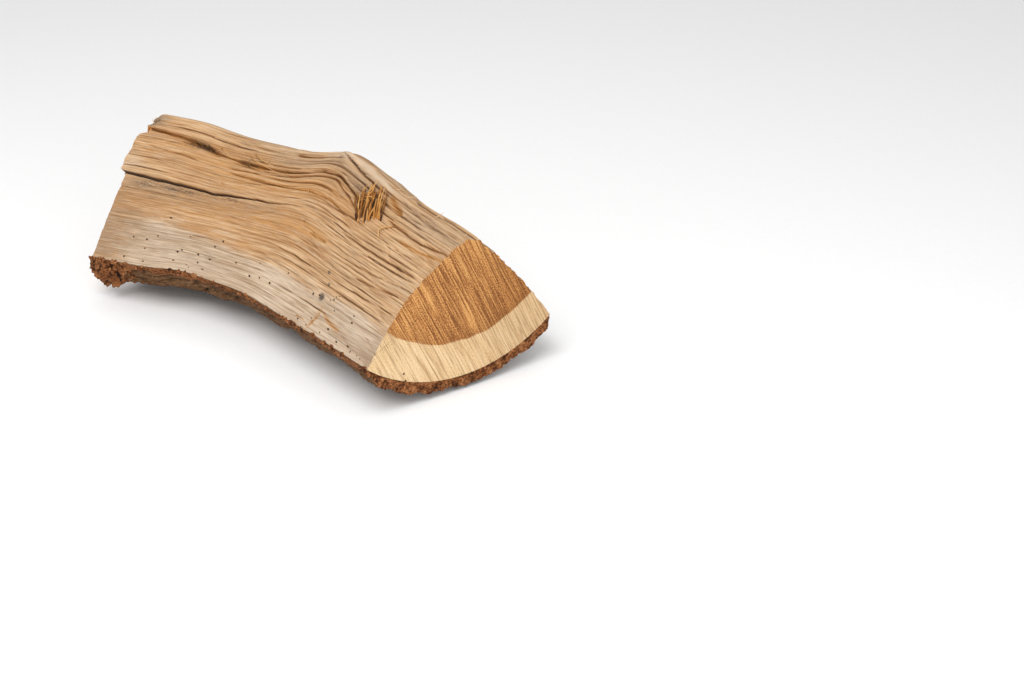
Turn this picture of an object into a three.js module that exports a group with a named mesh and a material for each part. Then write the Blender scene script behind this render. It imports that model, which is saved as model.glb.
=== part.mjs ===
/*
 * A split log: one wedge of a round trunk, sawn to stove length and split with
 * an axe, with its bark still on. Millimetres, +Z up.
 *
 * The log lies on its bark with the split edge, the crest, on top. +X is the
 * outward normal of the square-cut sawn end, -Y is the side of the broad split
 * face, and the log bends towards -Y on its way to the far sawn end. Guide lines
 * are measured from the pith at the square-cut end. At the end of the file the
 * group is moved so that its origin is the middle of the floor under the log.
 */
import * as THREE from 'three';
import { LoftGeometry } from 'three/addons/geometries/LoftGeometry.js';

// The two saw cuts. The near cut is square to +X, the far cut is turned in plan.
const FAR_CUT_TURN = THREE.MathUtils.degToRad( 18 );
const FAR_CREST = new THREE.Vector3( - 259, - 72, 1 );
const FAR_FRONT_REACH = 65;
const FAR_BACK_REACH = 60;
const FAR_CORNER_DROP = 80;

// The guide lines between the cuts: crest, front corner and back corner.
const CREST_POINTS = [
	[ 0, 4, - 12 ], [ - 73, 3, - 9 ], [ - 104, 3, - 4 ], [ - 134, 1, - 2 ],
	[ - 148, - 12, - 4 ], [ - 175, - 26, - 5 ], [ - 203, - 39, - 5 ], [ - 230, - 53, - 1 ]
];
const FRONT_CORNER_POINTS = [
	[ 0, - 66, - 76 ], [ - 49, - 71, - 75 ], [ - 100, - 77, - 75 ], [ - 131, - 81, - 75 ],
	[ - 155, - 89, - 75 ], [ - 180, - 99, - 75 ], [ - 201, - 115, - 76 ]
];
const BACK_CORNER_POINTS = [
	[ 0, 63, - 78 ], [ - 60, 62, - 77 ], [ - 115, 57, - 77 ], [ - 170, 37, - 77 ], [ - 225, 10, - 78 ]
];

// Section of the wedge: the blunt crest and the curve of the growth ring below it.
const CREST_WIDTH = 7;
const CREST_TILT = 3;
const ARC_DROP = 23;

// The broad split face: a full belly near the square cut, and a proud slab at the far end.
const FRONT_BELLY_NEAR = 8;
const FRONT_BELLY_FAR = 2;
const SLAB_EDGE = 0.42;
const SLAB_EDGE_WIDTH = 0.02;
const SLAB_STEP_TOP = 3;
const SLAB_STEP_BOTTOM = 7;
const SLAB_START = 0.5;
const GROOVE_DEPTH = 2.5;
const GROOVE_START = 0.3;

// The narrow split face behind the crest.
const BACK_BELLY = 2;
const BACK_SPLIT_PLACE = 0.55;
const BACK_SPLIT_STEP = 3;
const BACK_SPLIT_START = 0.15;
const BACK_SPLIT_FULL = 0.6;

// The bark: a slab that follows the growth ring, with a hair of room under it.
const BARK_GAP = 0.3;
const BARK_THICKNESS = 8;
const BARK_LUMP = 1.2;
const LUMPS_ALONG = 23;
const LUMPS_AROUND = 31;
const LUMP_SLANT = 10;
const BARK_FRONT_SETBACK = 0.11;
const BARK_BACK_SETBACK = 0.05;
const BARK_END_SETBACK = 0.6;
const FLAP_THICKNESS = 8;
const FLAP_LENGTH = 0.12;
const FLAP_WIDTH = 0.2;

// Mesh density.
const SECTIONS = 36;
const SLAB_COLUMNS = 10;
const LOWER_COLUMNS = 13;
const ARC_COLUMNS = 17;
const BACK_COLUMNS = 14;

// The groove along the top of the slab is one point wide, on the third column below the crest.
const SLAB_COLUMN_WIDTH = SLAB_EDGE / SLAB_COLUMNS;
const GROOVE_PLACE = 3 * SLAB_COLUMN_WIDTH;

const UP = new THREE.Vector3( 0, 0, 1 );
const ACROSS_FAR_CUT = new THREE.Vector3( - Math.sin( FAR_CUT_TURN ), Math.cos( FAR_CUT_TURN ), 0 );

/** A point on the far cut, so far across from the crest's end and so far below it. */
function onFarCut( across, drop ) {

	return FAR_CREST.clone().addScaledVector( ACROSS_FAR_CUT, across ).addScaledVector( UP, - drop );

}

/** A smooth line along the log from its points, closed off with its end on the far cut. */
function guideLine( points, end ) {

	const along = points.map( ( [ x, y, z ] ) => new THREE.Vector3( x, y, z ) );
	return new THREE.CatmullRomCurve3( [ ...along, end ] );

}

const crestLine = guideLine( CREST_POINTS, onFarCut( 0, 0 ) );
const frontLine = guideLine( FRONT_CORNER_POINTS, onFarCut( - FAR_FRONT_REACH, FAR_CORNER_DROP ) );
const backLine = guideLine( BACK_CORNER_POINTS, onFarCut( FAR_BACK_REACH, FAR_CORNER_DROP ) );

/** Evenly spaced numbers from start to end, both included. */
function spread( start, end, steps ) {

	return Array.from( { length: steps + 1 }, ( _, i ) => THREE.MathUtils.lerp( start, end, i / steps ) );

}

/** The corners and directions of the wedge at a place along the log, from 0 near to 1 far. */
function wedgeAt( place ) {

	const crest = crestLine.getPointAt( place );
	const front = frontLine.getPointAt( place );
	const back = backLine.getPointAt( place );
	const across = back.clone().sub( front ).normalize();
	const up = UP.clone().addScaledVector( across, - UP.dot( across ) ).normalize();
	const crestBack = crest.clone().addScaledVector( across, CREST_WIDTH );
	crestBack.addScaledVector( up, - CREST_TILT );
	return { place, crest, crestBack, front, back, across, up };

}

/** The outward direction of a flat face that runs between two points of the section. */
function faceNormal( top, bottom, across, up ) {

	const run = bottom.clone().sub( top );
	const normal = across.clone().multiplyScalar( run.dot( up ) );
	return normal.addScaledVector( up, - run.dot( across ) ).normalize();

}

/** How proud the slab stands at the far end, between the groove and its lower edge. */
function slabStep( down ) {

	const onSlab = down > GROOVE_PLACE + SLAB_COLUMN_WIDTH / 2 && down < SLAB_EDGE + SLAB_EDGE_WIDTH / 2;
	return onSlab ? THREE.MathUtils.lerp( SLAB_STEP_TOP, SLAB_STEP_BOTTOM, down / SLAB_EDGE ) : 0;

}

/** How far the broad split face stands out of the plane between crest and corner. */
function frontRelief( place, down ) {

	const eased = THREE.MathUtils.smoothstep( place, 0, 1 );
	const belly = THREE.MathUtils.lerp( FRONT_BELLY_NEAR, FRONT_BELLY_FAR, eased );
	const groove = Math.max( 0, 1 - Math.abs( down - GROOVE_PLACE ) / SLAB_COLUMN_WIDTH ) * GROOVE_DEPTH;
	return belly * Math.sin( Math.PI * down )
		+ slabStep( down ) * THREE.MathUtils.smoothstep( place, SLAB_START, 1 )
		- groove * THREE.MathUtils.smoothstep( place, GROOVE_START, 1 );

}

/** How far the narrow split face stands out, with one long shallow step that starts part way along. */
function backRelief( place, down ) {

	const step = down > BACK_SPLIT_PLACE ? 0 : down / BACK_SPLIT_PLACE * BACK_SPLIT_STEP;
	return BACK_BELLY * Math.sin( Math.PI * down )
		+ step * THREE.MathUtils.smoothstep( place, BACK_SPLIT_START, BACK_SPLIT_FULL );

}

/** A point of the growth ring between the two corners, pushed outward by a height. */
function ringPoint( wedge, share, height ) {

	const chord = wedge.back.clone().sub( wedge.front );
	const halfChord = chord.length() / 2;
	const radius = ( halfChord * halfChord + ARC_DROP * ARC_DROP ) / ( 2 * ARC_DROP );
	const centre = wedge.front.clone().addScaledVector( chord, 0.5 );
	centre.addScaledVector( wedge.up, radius - ARC_DROP );
	const sweep = 2 * Math.asin( halfChord / radius );
	const angle = ( share - 0.5 ) * sweep;
	const point = centre.addScaledVector( wedge.across, ( radius + height ) * Math.sin( angle ) );
	return point.addScaledVector( wedge.up, - ( radius + height ) * Math.cos( angle ) );

}

/** One section of the wood, from the crest down the broad face, along the ring and up the back. */
function woodSection( place ) {

	const wedge = wedgeAt( place );
	const frontOut = faceNormal( wedge.crest, wedge.front, wedge.across, wedge.up );
	const backOut = faceNormal( wedge.crestBack, wedge.back, wedge.across, wedge.up ).negate();
	const downSlab = spread( 0, SLAB_EDGE, SLAB_COLUMNS );
	const downFront = [ ...downSlab, ...spread( SLAB_EDGE + SLAB_EDGE_WIDTH, 1, LOWER_COLUMNS ) ];
	const front = downFront.map( ( down ) =>
		wedge.crest.clone().lerp( wedge.front, down ).addScaledVector( frontOut, frontRelief( place, down ) ) );
	const ring = spread( 0, 1, ARC_COLUMNS ).slice( 1, - 1 ).map( ( share ) => ringPoint( wedge, share, 0 ) );
	const back = spread( 1, 0, BACK_COLUMNS ).map( ( down ) =>
		wedge.crestBack.clone().lerp( wedge.back, down ).addScaledVector( backOut, backRelief( place, down ) ) );
	return [ ...front, ...ring, ...back ].reverse();

}

/** How thick the bark is: lumpy all over, with a thick ragged flap at the far front corner. */
function barkThickness( place, share ) {

	const lumps = Math.sin( LUMPS_ALONG * place + LUMP_SLANT * share )
		* Math.sin( LUMPS_AROUND * share - LUMP_SLANT * place );
	const flapAlong = THREE.MathUtils.smoothstep( place, 1 - FLAP_LENGTH, 1 );
	const flapAcross = 1 - THREE.MathUtils.smoothstep( share, 0, FLAP_WIDTH );
	return BARK_THICKNESS + BARK_LUMP * lumps + FLAP_THICKNESS * flapAlong * flapAcross;

}

/** One section of the bark: along its inner face, then back along its outer face. */
function barkSection( place ) {

	const wedge = wedgeAt( place );
	const inward = crestLine.getTangentAt( place ).multiplyScalar( place < 0.5 ? 1 : - 1 );
	const setback = place === 0 || place === 1 ? BARK_END_SETBACK : 0;
	const inner = spread( 0, 1, ARC_COLUMNS ).map( ( share ) => ringPoint( wedge, share, BARK_GAP ) );
	const outer = spread( 1 - BARK_BACK_SETBACK, BARK_FRONT_SETBACK, ARC_COLUMNS ).map( ( share ) =>
		ringPoint( wedge, share, BARK_GAP + barkThickness( place, share ) ) );
	return [ ...inner, ...outer ].map( ( point ) => point.addScaledVector( inward, setback ) );

}

/** A closed body through the sections that a function gives for each place along the log. */
function loft( name, sectionAt, finish ) {

	const sections = spread( 0, 1, SECTIONS ).map( sectionAt );
	const geometry = new LoftGeometry( sections, { capStart: true, capEnd: true } );
	const mesh = new THREE.Mesh( geometry, new THREE.MeshStandardMaterial( finish ) );
	mesh.name = name;
	return mesh;

}

const group = new THREE.Group();
group.add( loft( 'wood', woodSection, { color: 0xc79a66, roughness: 0.8, metalness: 0 } ) );
group.add( loft( 'bark', barkSection, { color: 0x6b4a35, roughness: 0.95, metalness: 0 } ) );

const box = new THREE.Box3().setFromObject( group );
const middle = box.getCenter( new THREE.Vector3() );
group.position.set( - middle.x, - middle.y, - box.min.z );

export default group;
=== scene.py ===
"""The looks of a split log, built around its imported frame.

The frame gives the wedge of wood and the slab of bark as plain solids. This script reads their sections,
lays fine sheets over them, tears and splits those sheets along the grain, adds loose fibres and crumbs of
bark, and dresses everything as oak-like firewood. Lengths are in metres, and names that end in _mm are in
millimetres. A share runs from 0 to 1, along the log from the square saw cut or down a face from the crest.
"""

import logging
import math
from dataclasses import dataclass, field
from enum import Enum
from typing import Any, Sequence

import bmesh
import bpy
import numpy as np
from mathutils import Matrix, Vector


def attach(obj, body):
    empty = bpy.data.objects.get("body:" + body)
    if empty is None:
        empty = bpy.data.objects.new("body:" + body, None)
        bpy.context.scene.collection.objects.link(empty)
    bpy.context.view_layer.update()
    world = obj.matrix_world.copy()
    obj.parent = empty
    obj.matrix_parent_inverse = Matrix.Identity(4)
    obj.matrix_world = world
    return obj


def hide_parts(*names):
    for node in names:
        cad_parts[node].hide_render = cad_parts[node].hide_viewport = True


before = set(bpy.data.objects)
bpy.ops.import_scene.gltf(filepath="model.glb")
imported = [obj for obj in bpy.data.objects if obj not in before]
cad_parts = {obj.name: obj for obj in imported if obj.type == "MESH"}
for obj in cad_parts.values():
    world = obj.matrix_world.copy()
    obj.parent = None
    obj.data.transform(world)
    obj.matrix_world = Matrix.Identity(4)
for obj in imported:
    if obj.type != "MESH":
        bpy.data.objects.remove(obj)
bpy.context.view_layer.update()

LOG = logging.getLogger("split_log")
MM = 0.001
# How long the log is along its bend, and the angle in plan between its two saw cuts.
LENGTH_MM = 260.0
CUT_TURN = math.radians(18)
# Where the heartwood ends, from the pith.
HEART_RADIUS = 76 * MM
# Where the pith of the square cut is from its crest: reach and height.
PITH_FROM_CREST = (-4 * MM, 12 * MM)
# Points closer than this are merged.
MERGE = 1e-6
# Sections at the two cuts are taken this share of the length inside them.
OFF_THE_CUT = 1e-4
Array = np.ndarray
Stops = tuple[tuple[float, float], ...]
Colour = tuple[float, float, float]


class Slot(Enum):
    """The record's material slots."""

    WOOD = "wood"
    BARK = "bark"


class Tint(Enum):
    """The tints that a patch on a split face can have, named as the mark each adds to. Most colour the wood
    itself; the near-black tint is painted shade, a few grey and warm patches paint shade, and pale patches
    along the crest paint a highlight.
    """

    RAW = "raw"
    WARM = "warm"
    # Near-black painted shade in cracks, torn holes and grooves and under the tuft.
    SOOT = "soot"
    GREY = "grey"
    PALE = "pale"


# --------------------------------------------------------------------------- numbers on a surface


@dataclass(frozen=True)
class Noise:
    """Smooth seeded noise on arrays, from about -1 to 1.

    Attributes:
        seed: Picks one fixed pattern.
    """

    seed: int

    def at(self, x: Array, y: Array) -> Array:
        """Gradient noise.

        Args:
            x: The points' first coordinates, one cell to a unit.
            y: Their second coordinates.

        Returns:
            The noise at each point.
        """
        rng = np.random.default_rng(self.seed)
        table = rng.permutation(256)
        angle = rng.uniform(0.0, math.tau, 256)
        x, y = np.broadcast_arrays(np.asarray(x, float), np.asarray(y, float))
        cell_x, cell_y = np.floor(x).astype(int), np.floor(y).astype(int)
        in_x, in_y = x - cell_x, y - cell_y

        def corner(step_x: int, step_y: int) -> Array:
            """What one corner of its cell gives each point."""
            hashed = angle[table[(table[(cell_x + step_x) & 255] + cell_y + step_y) & 255]]
            return np.cos(hashed) * (in_x - step_x) + np.sin(hashed) * (in_y - step_y)

        fade_x, fade_y = smooth(in_x), smooth(in_y)
        near = corner(0, 0) * (1 - fade_x) + corner(1, 0) * fade_x
        far = corner(0, 1) * (1 - fade_x) + corner(1, 1) * fade_x
        return 1.6 * (near * (1 - fade_y) + far * fade_y)

    def layered(self, x: Array, y: Array, layers: int) -> Array:
        """Noise with finer layers added, each at half the size and half the strength.

        Args:
            x: The points' first coordinates.
            y: Their second coordinates.
            layers: How many layers there are.

        Returns:
            The noise at each point.
        """
        total = np.zeros(np.broadcast(x, y).shape)
        for layer in range(layers):
            total += Noise(self.seed + layer).at(x * 2**layer, y * 2**layer) / 2**layer
        return total


def smooth(x: Array) -> Array:
    """An ease from 0 to 1 with level ends, for x already between 0 and 1."""
    return x * x * x * (x * (6 * x - 15) + 10)


def ease(x: Array, start: float, end: float) -> Array:
    """An ease from 0 at start to 1 at end, held level outside them."""
    return smooth(np.clip((np.asarray(x, float) - start) / (end - start), 0.0, 1.0))


def along_stops(x: Array, stops: Stops) -> Array:
    """Straight lines through (place, value) stops."""
    places, values = zip(*sorted(stops))
    return np.interp(x, places, values)


def soften_rows(grid: Array, reach: int) -> Array:
    """Averages a grid along its first axis, keeping its first and last rows.

    Args:
        grid: Values by row, then by column.
        reach: How many rows each way the average takes in.

    Returns:
        The softened grid, of the same shape.
    """
    weights = np.hanning(2 * reach + 3)[1:-1]
    weights /= weights.sum()
    head = 2 * grid[:1] - grid[reach:0:-1]
    tail = 2 * grid[-1:] - grid[-2 : -reach - 2 : -1]
    padded = np.concatenate([head, grid, tail])
    return sum(weight * padded[i : i + len(grid)] for i, weight in enumerate(weights))


def soften_columns(grid: Array, reach: int) -> Array:
    """Averages a grid along its second axis, as soften_rows does along its first."""
    return soften_rows(grid.T, reach).T


# --------------------------------------------------------------------------- reading the frame


@dataclass(frozen=True)
class Fan:
    """Upright planes that fan from the square saw cut round to the turned one.

    A point's share runs from 0 on the square cut to 1 on the turned cut, and its reach is how far it is
    from the fan's upright axis, which stands where the two cuts would meet.

    Attributes:
        square_x: Where the square cut is.
        axis_y: Where the upright axis is.
        turn: The angle between the two cuts.
    """

    square_x: float
    axis_y: float
    turn: float

    @staticmethod
    def between_cuts(points: Array, turn: float) -> "Fan":
        """The fan whose first and last planes lie on the two cuts of the wood.

        Args:
            points: The wood's points.
            turn: The angle between its cuts.

        Returns:
            The fan.
        """
        square_x = float(points[:, 0].max())
        turned = float((points[:, 0] * math.cos(turn) + points[:, 1] * math.sin(turn)).min())
        return Fan(square_x, (turned - math.cos(turn) * square_x) / math.sin(turn), turn)

    def spread(self, points: Array) -> Array:
        """Share, reach and height of points."""
        back, out = self.square_x - points[:, 0], points[:, 1] - self.axis_y
        return np.stack([np.arctan2(back, out) / self.turn, np.hypot(back, out), points[:, 2]], axis=-1)

    def place(self, share: Array, reach: Array, height: Array) -> Array:
        """The points at a share, reach and height.

        Args:
            share: Share along the log.
            reach: Distance from the fan's axis.
            height: Height.

        Returns:
            The points, with x, y and z last.
        """
        angle = share * self.turn
        x = self.square_x - reach * np.sin(angle)
        y = self.axis_y + reach * np.cos(angle)
        return np.stack(np.broadcast_arrays(x, y, height), axis=-1)


@dataclass
class NodeSections:
    """Cuts a CAD node with the fan's planes.

    Attributes:
        node: The node's name.
        fan: The planes.
    """

    node: str
    fan: Fan
    spread: Array = field(init=False)
    edges: Array = field(init=False)

    def __post_init__(self) -> None:
        """Merges a copy of the node's loose triangles and keeps its points and edges."""
        points, self.edges = merged_copy(self.node)
        self.spread = self.fan.spread(points)

    def at(self, share: float) -> Array:
        """Cuts the node with one plane.

        Args:
            share: Which plane cuts.

        Returns:
            Reach and height of each cut point.
        """
        start, end = self.spread[self.edges[:, 0]], self.spread[self.edges[:, 1]]
        crosses = (start[:, 0] - share) * (end[:, 0] - share) < 0
        start, end = start[crosses], end[crosses]
        part = (share - start[:, :1]) / (end[:, :1] - start[:, :1])
        return (start + (end - start) * part)[:, 1:]


def merged_copy(node: str) -> tuple[Array, Array]:
    """Merges the doubled points in a copy of a CAD node.

    Args:
        node: The node's name.

    Returns:
        Its points, and each edge as two numbers of points.
    """
    copy = bmesh.new()
    copy.from_mesh(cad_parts[node].data)
    bmesh.ops.remove_doubles(copy, verts=copy.verts, dist=0.01 * MM)
    copy.verts.index_update()
    points = np.array([vert.co[:] for vert in copy.verts])
    edges = np.array([[vert.index for vert in edge.verts] for edge in copy.edges])
    copy.free()
    return points, edges


@dataclass(frozen=True)
class WedgeSection:
    """The corners of one section of the wood, and the cut points of its three sides.

    Attributes:
        crest: Reach and height of the split edge on top.
        front: The corner where the broad split face meets the bark.
        back: The corner where the narrow split face meets the bark.
        points: All the cut points.
    """

    crest: Array
    front: Array
    back: Array
    points: Array

    @staticmethod
    def of(points: Array) -> "WedgeSection":
        """Finds the corners of a section: its highest point and its two furthest points.

        Args:
            points: Reach and height of the section's cut points.

        Returns:
            The section.
        """
        crest = points[points[:, 1].argmax()]
        front, back = points[points[:, 0].argmin()], points[points[:, 0].argmax()]
        return WedgeSection(crest, front, back, points)

    def side(self, start: Array, end: Array, mine: Array, shares: Array) -> Array:
        """Points down one side, spaced along the line between two corners.

        Args:
            start: The corner that the side starts from.
            end: The corner that it ends at.
            mine: Which of the cut points are on this side.
            shares: Where the wanted points are, from 0 at start to 1 at end.

        Returns:
            The reach and height of each wanted point.
        """
        line = end - start
        length = np.linalg.norm(line)
        out = np.array([line[1], -line[0]]) / length
        offset = self.points[mine] - start
        down = np.concatenate([[0.0], offset @ line / length**2, [1.0]])
        stand = np.concatenate([[0.0], offset @ out, [0.0]])
        order = np.argsort(down, kind="stable")
        stands = np.interp(shares, down[order], stand[order])
        return start + shares[:, None] * line + stands[:, None] * out

    def above(self) -> Array:
        """Tells the split faces from the bark side.

        Returns:
            True for each cut point that is above the line between the two lower corners.
        """
        line = self.back - self.front
        offset = self.points - self.front
        return (offset[:, 1] * line[0] - offset[:, 0] * line[1]) / np.linalg.norm(line) > 0.3 * MM

    def down_front(self, shares: Array) -> Array:
        """Points down the broad split face."""
        mine = self.above() & (self.points[:, 0] <= self.crest[0])
        return self.side(self.crest, self.front, mine, shares)

    def down_back(self, shares: Array) -> Array:
        """Points down the narrow split face."""
        mine = self.above() & (self.points[:, 0] >= self.crest[0])
        return self.side(self.crest, self.back, mine, shares)

    def ring(self) -> tuple[Array, float]:
        """The growth ring through the lower corners.

        Returns:
            Reach and height of its middle, and its radius.
        """
        chord = self.back - self.front
        half = np.linalg.norm(chord) / 2
        lowest = self.under(np.array([0.5]))[0]
        middle = (self.front + self.back) / 2
        drop = np.linalg.norm(middle - lowest)
        radius = (half**2 + drop**2) / (2 * drop)
        return lowest + (middle - lowest) * radius / drop, radius

    def under(self, shares: Array) -> Array:
        """Points along the growth ring from the front corner to the back one."""
        return self.side(self.front, self.back, ~self.above(), shares)


# --------------------------------------------------------------------------- wrapping a fine sheet


@dataclass
class WrappedSheet:
    """A fine grid wrapped round the log into a tube, with both ends closed.

    Attributes:
        name: The piece's name.
        places: Where each grid point goes, by row along the log and column round it. The last column lies
            on the first one.
        marks: Named values for each grid point, kept as attributes of the mesh: one number or three.
        middles: Where each column's end is drawn in to, for the first and the last row.
        end_rings: How many rings of faces each end gets.
        grit_mm: How rough the ends are.
        grain_mm: How coarse that roughness is.
    """

    name: str
    places: Array
    marks: dict[str, Array]
    middles: Array
    end_rings: int = 6
    grit_mm: float = 0.0
    grain_mm: float = 2.0

    def build(self) -> bpy.types.Object:
        """Makes the object, with its two ends in the second and third material slots.

        Returns:
            The object.
        """
        rows, columns = self.places.shape[0] - 1, self.places.shape[1] - 1
        sheet = bmesh.new()
        bmesh.ops.create_grid(sheet, x_segments=columns, y_segments=rows, size=0.5)
        layers = self.layers(sheet)
        rims: list[dict[Any, int]] = [{}, {}]
        for vert in sheet.verts:
            column, row = round((vert.co.x + 0.5) * columns), round((vert.co.y + 0.5) * rows)
            vert.co = self.places[row, column]
            for layer, values in layers:
                vert[layer] = values[row, column]
            if row in (0, rows):
                rims[row == rows][vert] = column
        seam = [vert for vert in sheet.verts if vert.is_boundary]
        bmesh.ops.remove_doubles(sheet, verts=seam, dist=MERGE)
        for end, rim in enumerate(rims):
            self.close_end(sheet, end, {vert: column for vert, column in rim.items() if vert.is_valid})
        bmesh.ops.remove_doubles(sheet, verts=sheet.verts, dist=MERGE)
        bmesh.ops.recalc_face_normals(sheet, faces=sheet.faces)
        return finished_object(sheet, self.name)

    def layers(self, sheet: bmesh.types.BMesh) -> list[tuple[Any, Array]]:
        """Makes one attribute layer for each mark.

        Args:
            sheet: The mesh that gets the layers.

        Returns:
            Each layer and its values.
        """
        stores = {
            name: sheet.verts.layers.float_vector if mark.ndim == 3 else sheet.verts.layers.float
            for name, mark in self.marks.items()
        }
        for name, store in stores.items():
            store.new(name)
        return [(store[name], self.marks[name]) for name, store in stores.items()]

    def close_end(self, sheet: bmesh.types.BMesh, end: int, rim: dict[Any, int]) -> None:
        """Draws an open end in ring by ring until it meets in the middle.

        Args:
            sheet: The mesh.
            end: 0 for the first row and 1 for the last.
            rim: The end's points and their columns.
        """
        open_edges = [edge for edge in sheet.edges if edge.is_boundary]
        edges = [edge for edge in open_edges if edge.verts[0] in rim and edge.verts[1] in rim]
        for edge in edges:
            edge.smooth = False
        targets = {tuple(vert.co): self.middles[end, column] for vert, column in rim.items()}
        outward = Vector(self.places[-end, 0] - self.places[-end + 1 - 2 * end, 0]).normalized()
        rough = Noise(end + 5)
        for ring in range(self.end_rings):
            grown = bmesh.ops.extrude_edge_only(sheet, edges=edges)["geom"]
            moved = {}
            for vert in (part for part in grown if isinstance(part, bmesh.types.BMVert)):
                target = targets[tuple(vert.co)]
                vert.co += (Vector(target) - vert.co) / (self.end_rings - ring)
                if self.grit_mm and ring < self.end_rings - 1:
                    along = (vert.co - Vector(target)).length / (self.grain_mm * MM)
                    across = sum(target) / (self.grain_mm * MM)
                    vert.co += outward * float(rough.layered(across * 1.5, along, 2)) * self.grit_mm * MM
                moved[tuple(vert.co)] = target
            targets = moved
            edges = [part for part in grown if isinstance(part, bmesh.types.BMEdge) and part.is_boundary]
            for face in (part for part in grown if isinstance(part, bmesh.types.BMFace)):
                face.material_index = end + 1


def finished_object(shape: bmesh.types.BMesh, name: str) -> bpy.types.Object:
    """Turns a bmesh into a smooth-shaded linked object and frees it.

    Args:
        shape: The bmesh.
        name: The object's name.

    Returns:
        The object.
    """
    for face in shape.faces:
        face.smooth = True
    mesh = bpy.data.meshes.new(name)
    shape.to_mesh(mesh)
    shape.free()
    made = bpy.data.objects.new(name, mesh)
    bpy.context.scene.collection.objects.link(made)
    return made


# --------------------------------------------------------------------------- splits along the grain

# A furrow that ends within this share of a saw cut runs out through it instead of fading there.
RUNS_OUT = 0.01
# Keeps the fades of a very short furrow from having no length.
SLIVER = 1e-6


@dataclass(frozen=True)
class Furrow:
    """A crack or groove that runs with the grain along a split face.

    Attributes:
        path: Its line, as (share along the log, share down the face) points.
        depth_mm: How deep it is.
        width_mm: How wide each of its sides is.
        ledge_mm: How proud the wood above it stands.
        ledge_width_mm: How far up the face that wood keeps standing proud.
        rawness: How much fresh orange wood shows in it, from 0 to 1.
    """

    path: Stops
    depth_mm: float
    width_mm: float
    ledge_mm: float = 0.0
    ledge_width_mm: float = 6.0
    rawness: float = 0.0

    def off(self, face: "FaceGrid") -> tuple[Array, Array]:
        """How far each point is from the furrow's line.

        Args:
            face: The face's grid.

        Returns:
            Millimetres down the face from the line, and how strong the furrow is there, from 0 to 1.
        """
        low, high = sorted((self.path[0][0], self.path[-1][0]))
        wander = 0.0035 * Noise(int(1000 * (low + self.depth_mm))).layered(face.along * 14, 0.5, 3)
        down = face.down - along_stops(face.along, self.path) - wander
        fade = (high - low) / 4
        fade_in = ease(face.along, low - SLIVER, low + fade)
        fade_out = 1 - ease(face.along, high - fade, high + SLIVER)
        strength = fade_in * fade_out
        if high > 1 - RUNS_OUT:
            strength = ease(face.along, low, low + fade)
        if low < RUNS_OUT:
            strength = 1 - ease(face.along, high - fade, high)
        return down * face.height_mm, strength

    def relief(self, face: "FaceGrid") -> Array:
        """What the furrow adds to the face's height.

        Args:
            face: The face's grid.

        Returns:
            Millimetres outwards at each point.
        """
        off_mm, strength = self.off(face)
        strength = strength * (0.25 + 0.75 * ease(face.along, 0.0, 0.05))
        groove = -self.depth_mm * np.exp(-((off_mm / self.width_mm) ** 2))
        ledge = self.ledge_mm * np.exp(np.minimum(off_mm, 0) / self.ledge_width_mm) * (off_mm < 0)
        return (groove + ledge) * strength

    def raw(self, face: "FaceGrid") -> Array:
        """How raw the wood is round the furrow."""
        off_mm, strength = self.off(face)
        return self.rawness * strength * np.exp(-((off_mm / (1.6 * self.width_mm)) ** 2))


@dataclass(frozen=True)
class Dimple:
    """A small round pit or knot on a split face.

    Attributes:
        along: Share along the log.
        down: Share down the face.
        radius_mm: Its radius.
        depth_mm: Its depth, below nothing for a lump.
        stain: How dark it is, from 0 to 1.
    """

    along: float
    down: float
    radius_mm: float
    depth_mm: float
    stain: float = 1.0

    def mask(self, face: "FaceGrid") -> Array:
        """Where the dimple is.

        Args:
            face: The face's grid.

        Returns:
            1 in the middle of the dimple and 0 well outside it.
        """
        off_along = (face.along - self.along) * face.length_mm
        off_down = (face.down - self.down) * face.height_mm
        return np.exp(-((np.hypot(off_along, off_down) / self.radius_mm) ** 4))


@dataclass(frozen=True)
class Patch:
    """A soft-edged tinted patch on a split face. Most colour the wood itself; some are painted shade and
    some a painted highlight.

    Attributes:
        tint: Which tint it is.
        along: Share along the log.
        down: Share down the face.
        long_mm: How far it reaches along the grain.
        wide_mm: How far it reaches across the grain.
        strength: How strong it is in the middle.
    """

    tint: Tint
    along: float
    down: float
    long_mm: float
    wide_mm: float
    strength: float

    def amount(self, face: "FaceGrid") -> Array:
        """How strong the tint is.

        Args:
            face: The face's grid.

        Returns:
            Its strength at each point.
        """
        off_along = (face.along - self.along) * face.length_mm / self.long_mm
        off_down = (face.down - self.down) * face.height_mm / self.wide_mm
        ragged = 1 + 0.6 * Noise(int(100 * self.down + 7)).layered(face.run / 12, face.depth / 3, 3)
        return self.strength * np.exp(-(off_along**2 + off_down**2)) * np.clip(ragged, 0, 2)


def tint_patches(tint: Tint, *places: tuple[float, float, float, float, float]) -> tuple[Patch, ...]:
    """Patches of one tint, each given as its along, down, long_mm, wide_mm and strength."""
    return tuple(Patch(tint, *place) for place in places)


@dataclass(frozen=True)
class FaceGrid:
    """The grid of one split face, in the log's own measures.

    Attributes:
        along: Share along the log, by row and column.
        down: Share down the face from the crest.
        length_mm: How long the log is.
        height_mm: How far it is down the face, for each row.
    """

    along: Array
    down: Array
    length_mm: float
    height_mm: Array

    @property
    def run(self) -> Array:
        """Millimetres along the grain."""
        return self.along * self.length_mm

    @property
    def depth(self) -> Array:
        """Millimetres down from the crest across the grain, on a face of even height."""
        return self.down * float(self.height_mm.mean())


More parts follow.
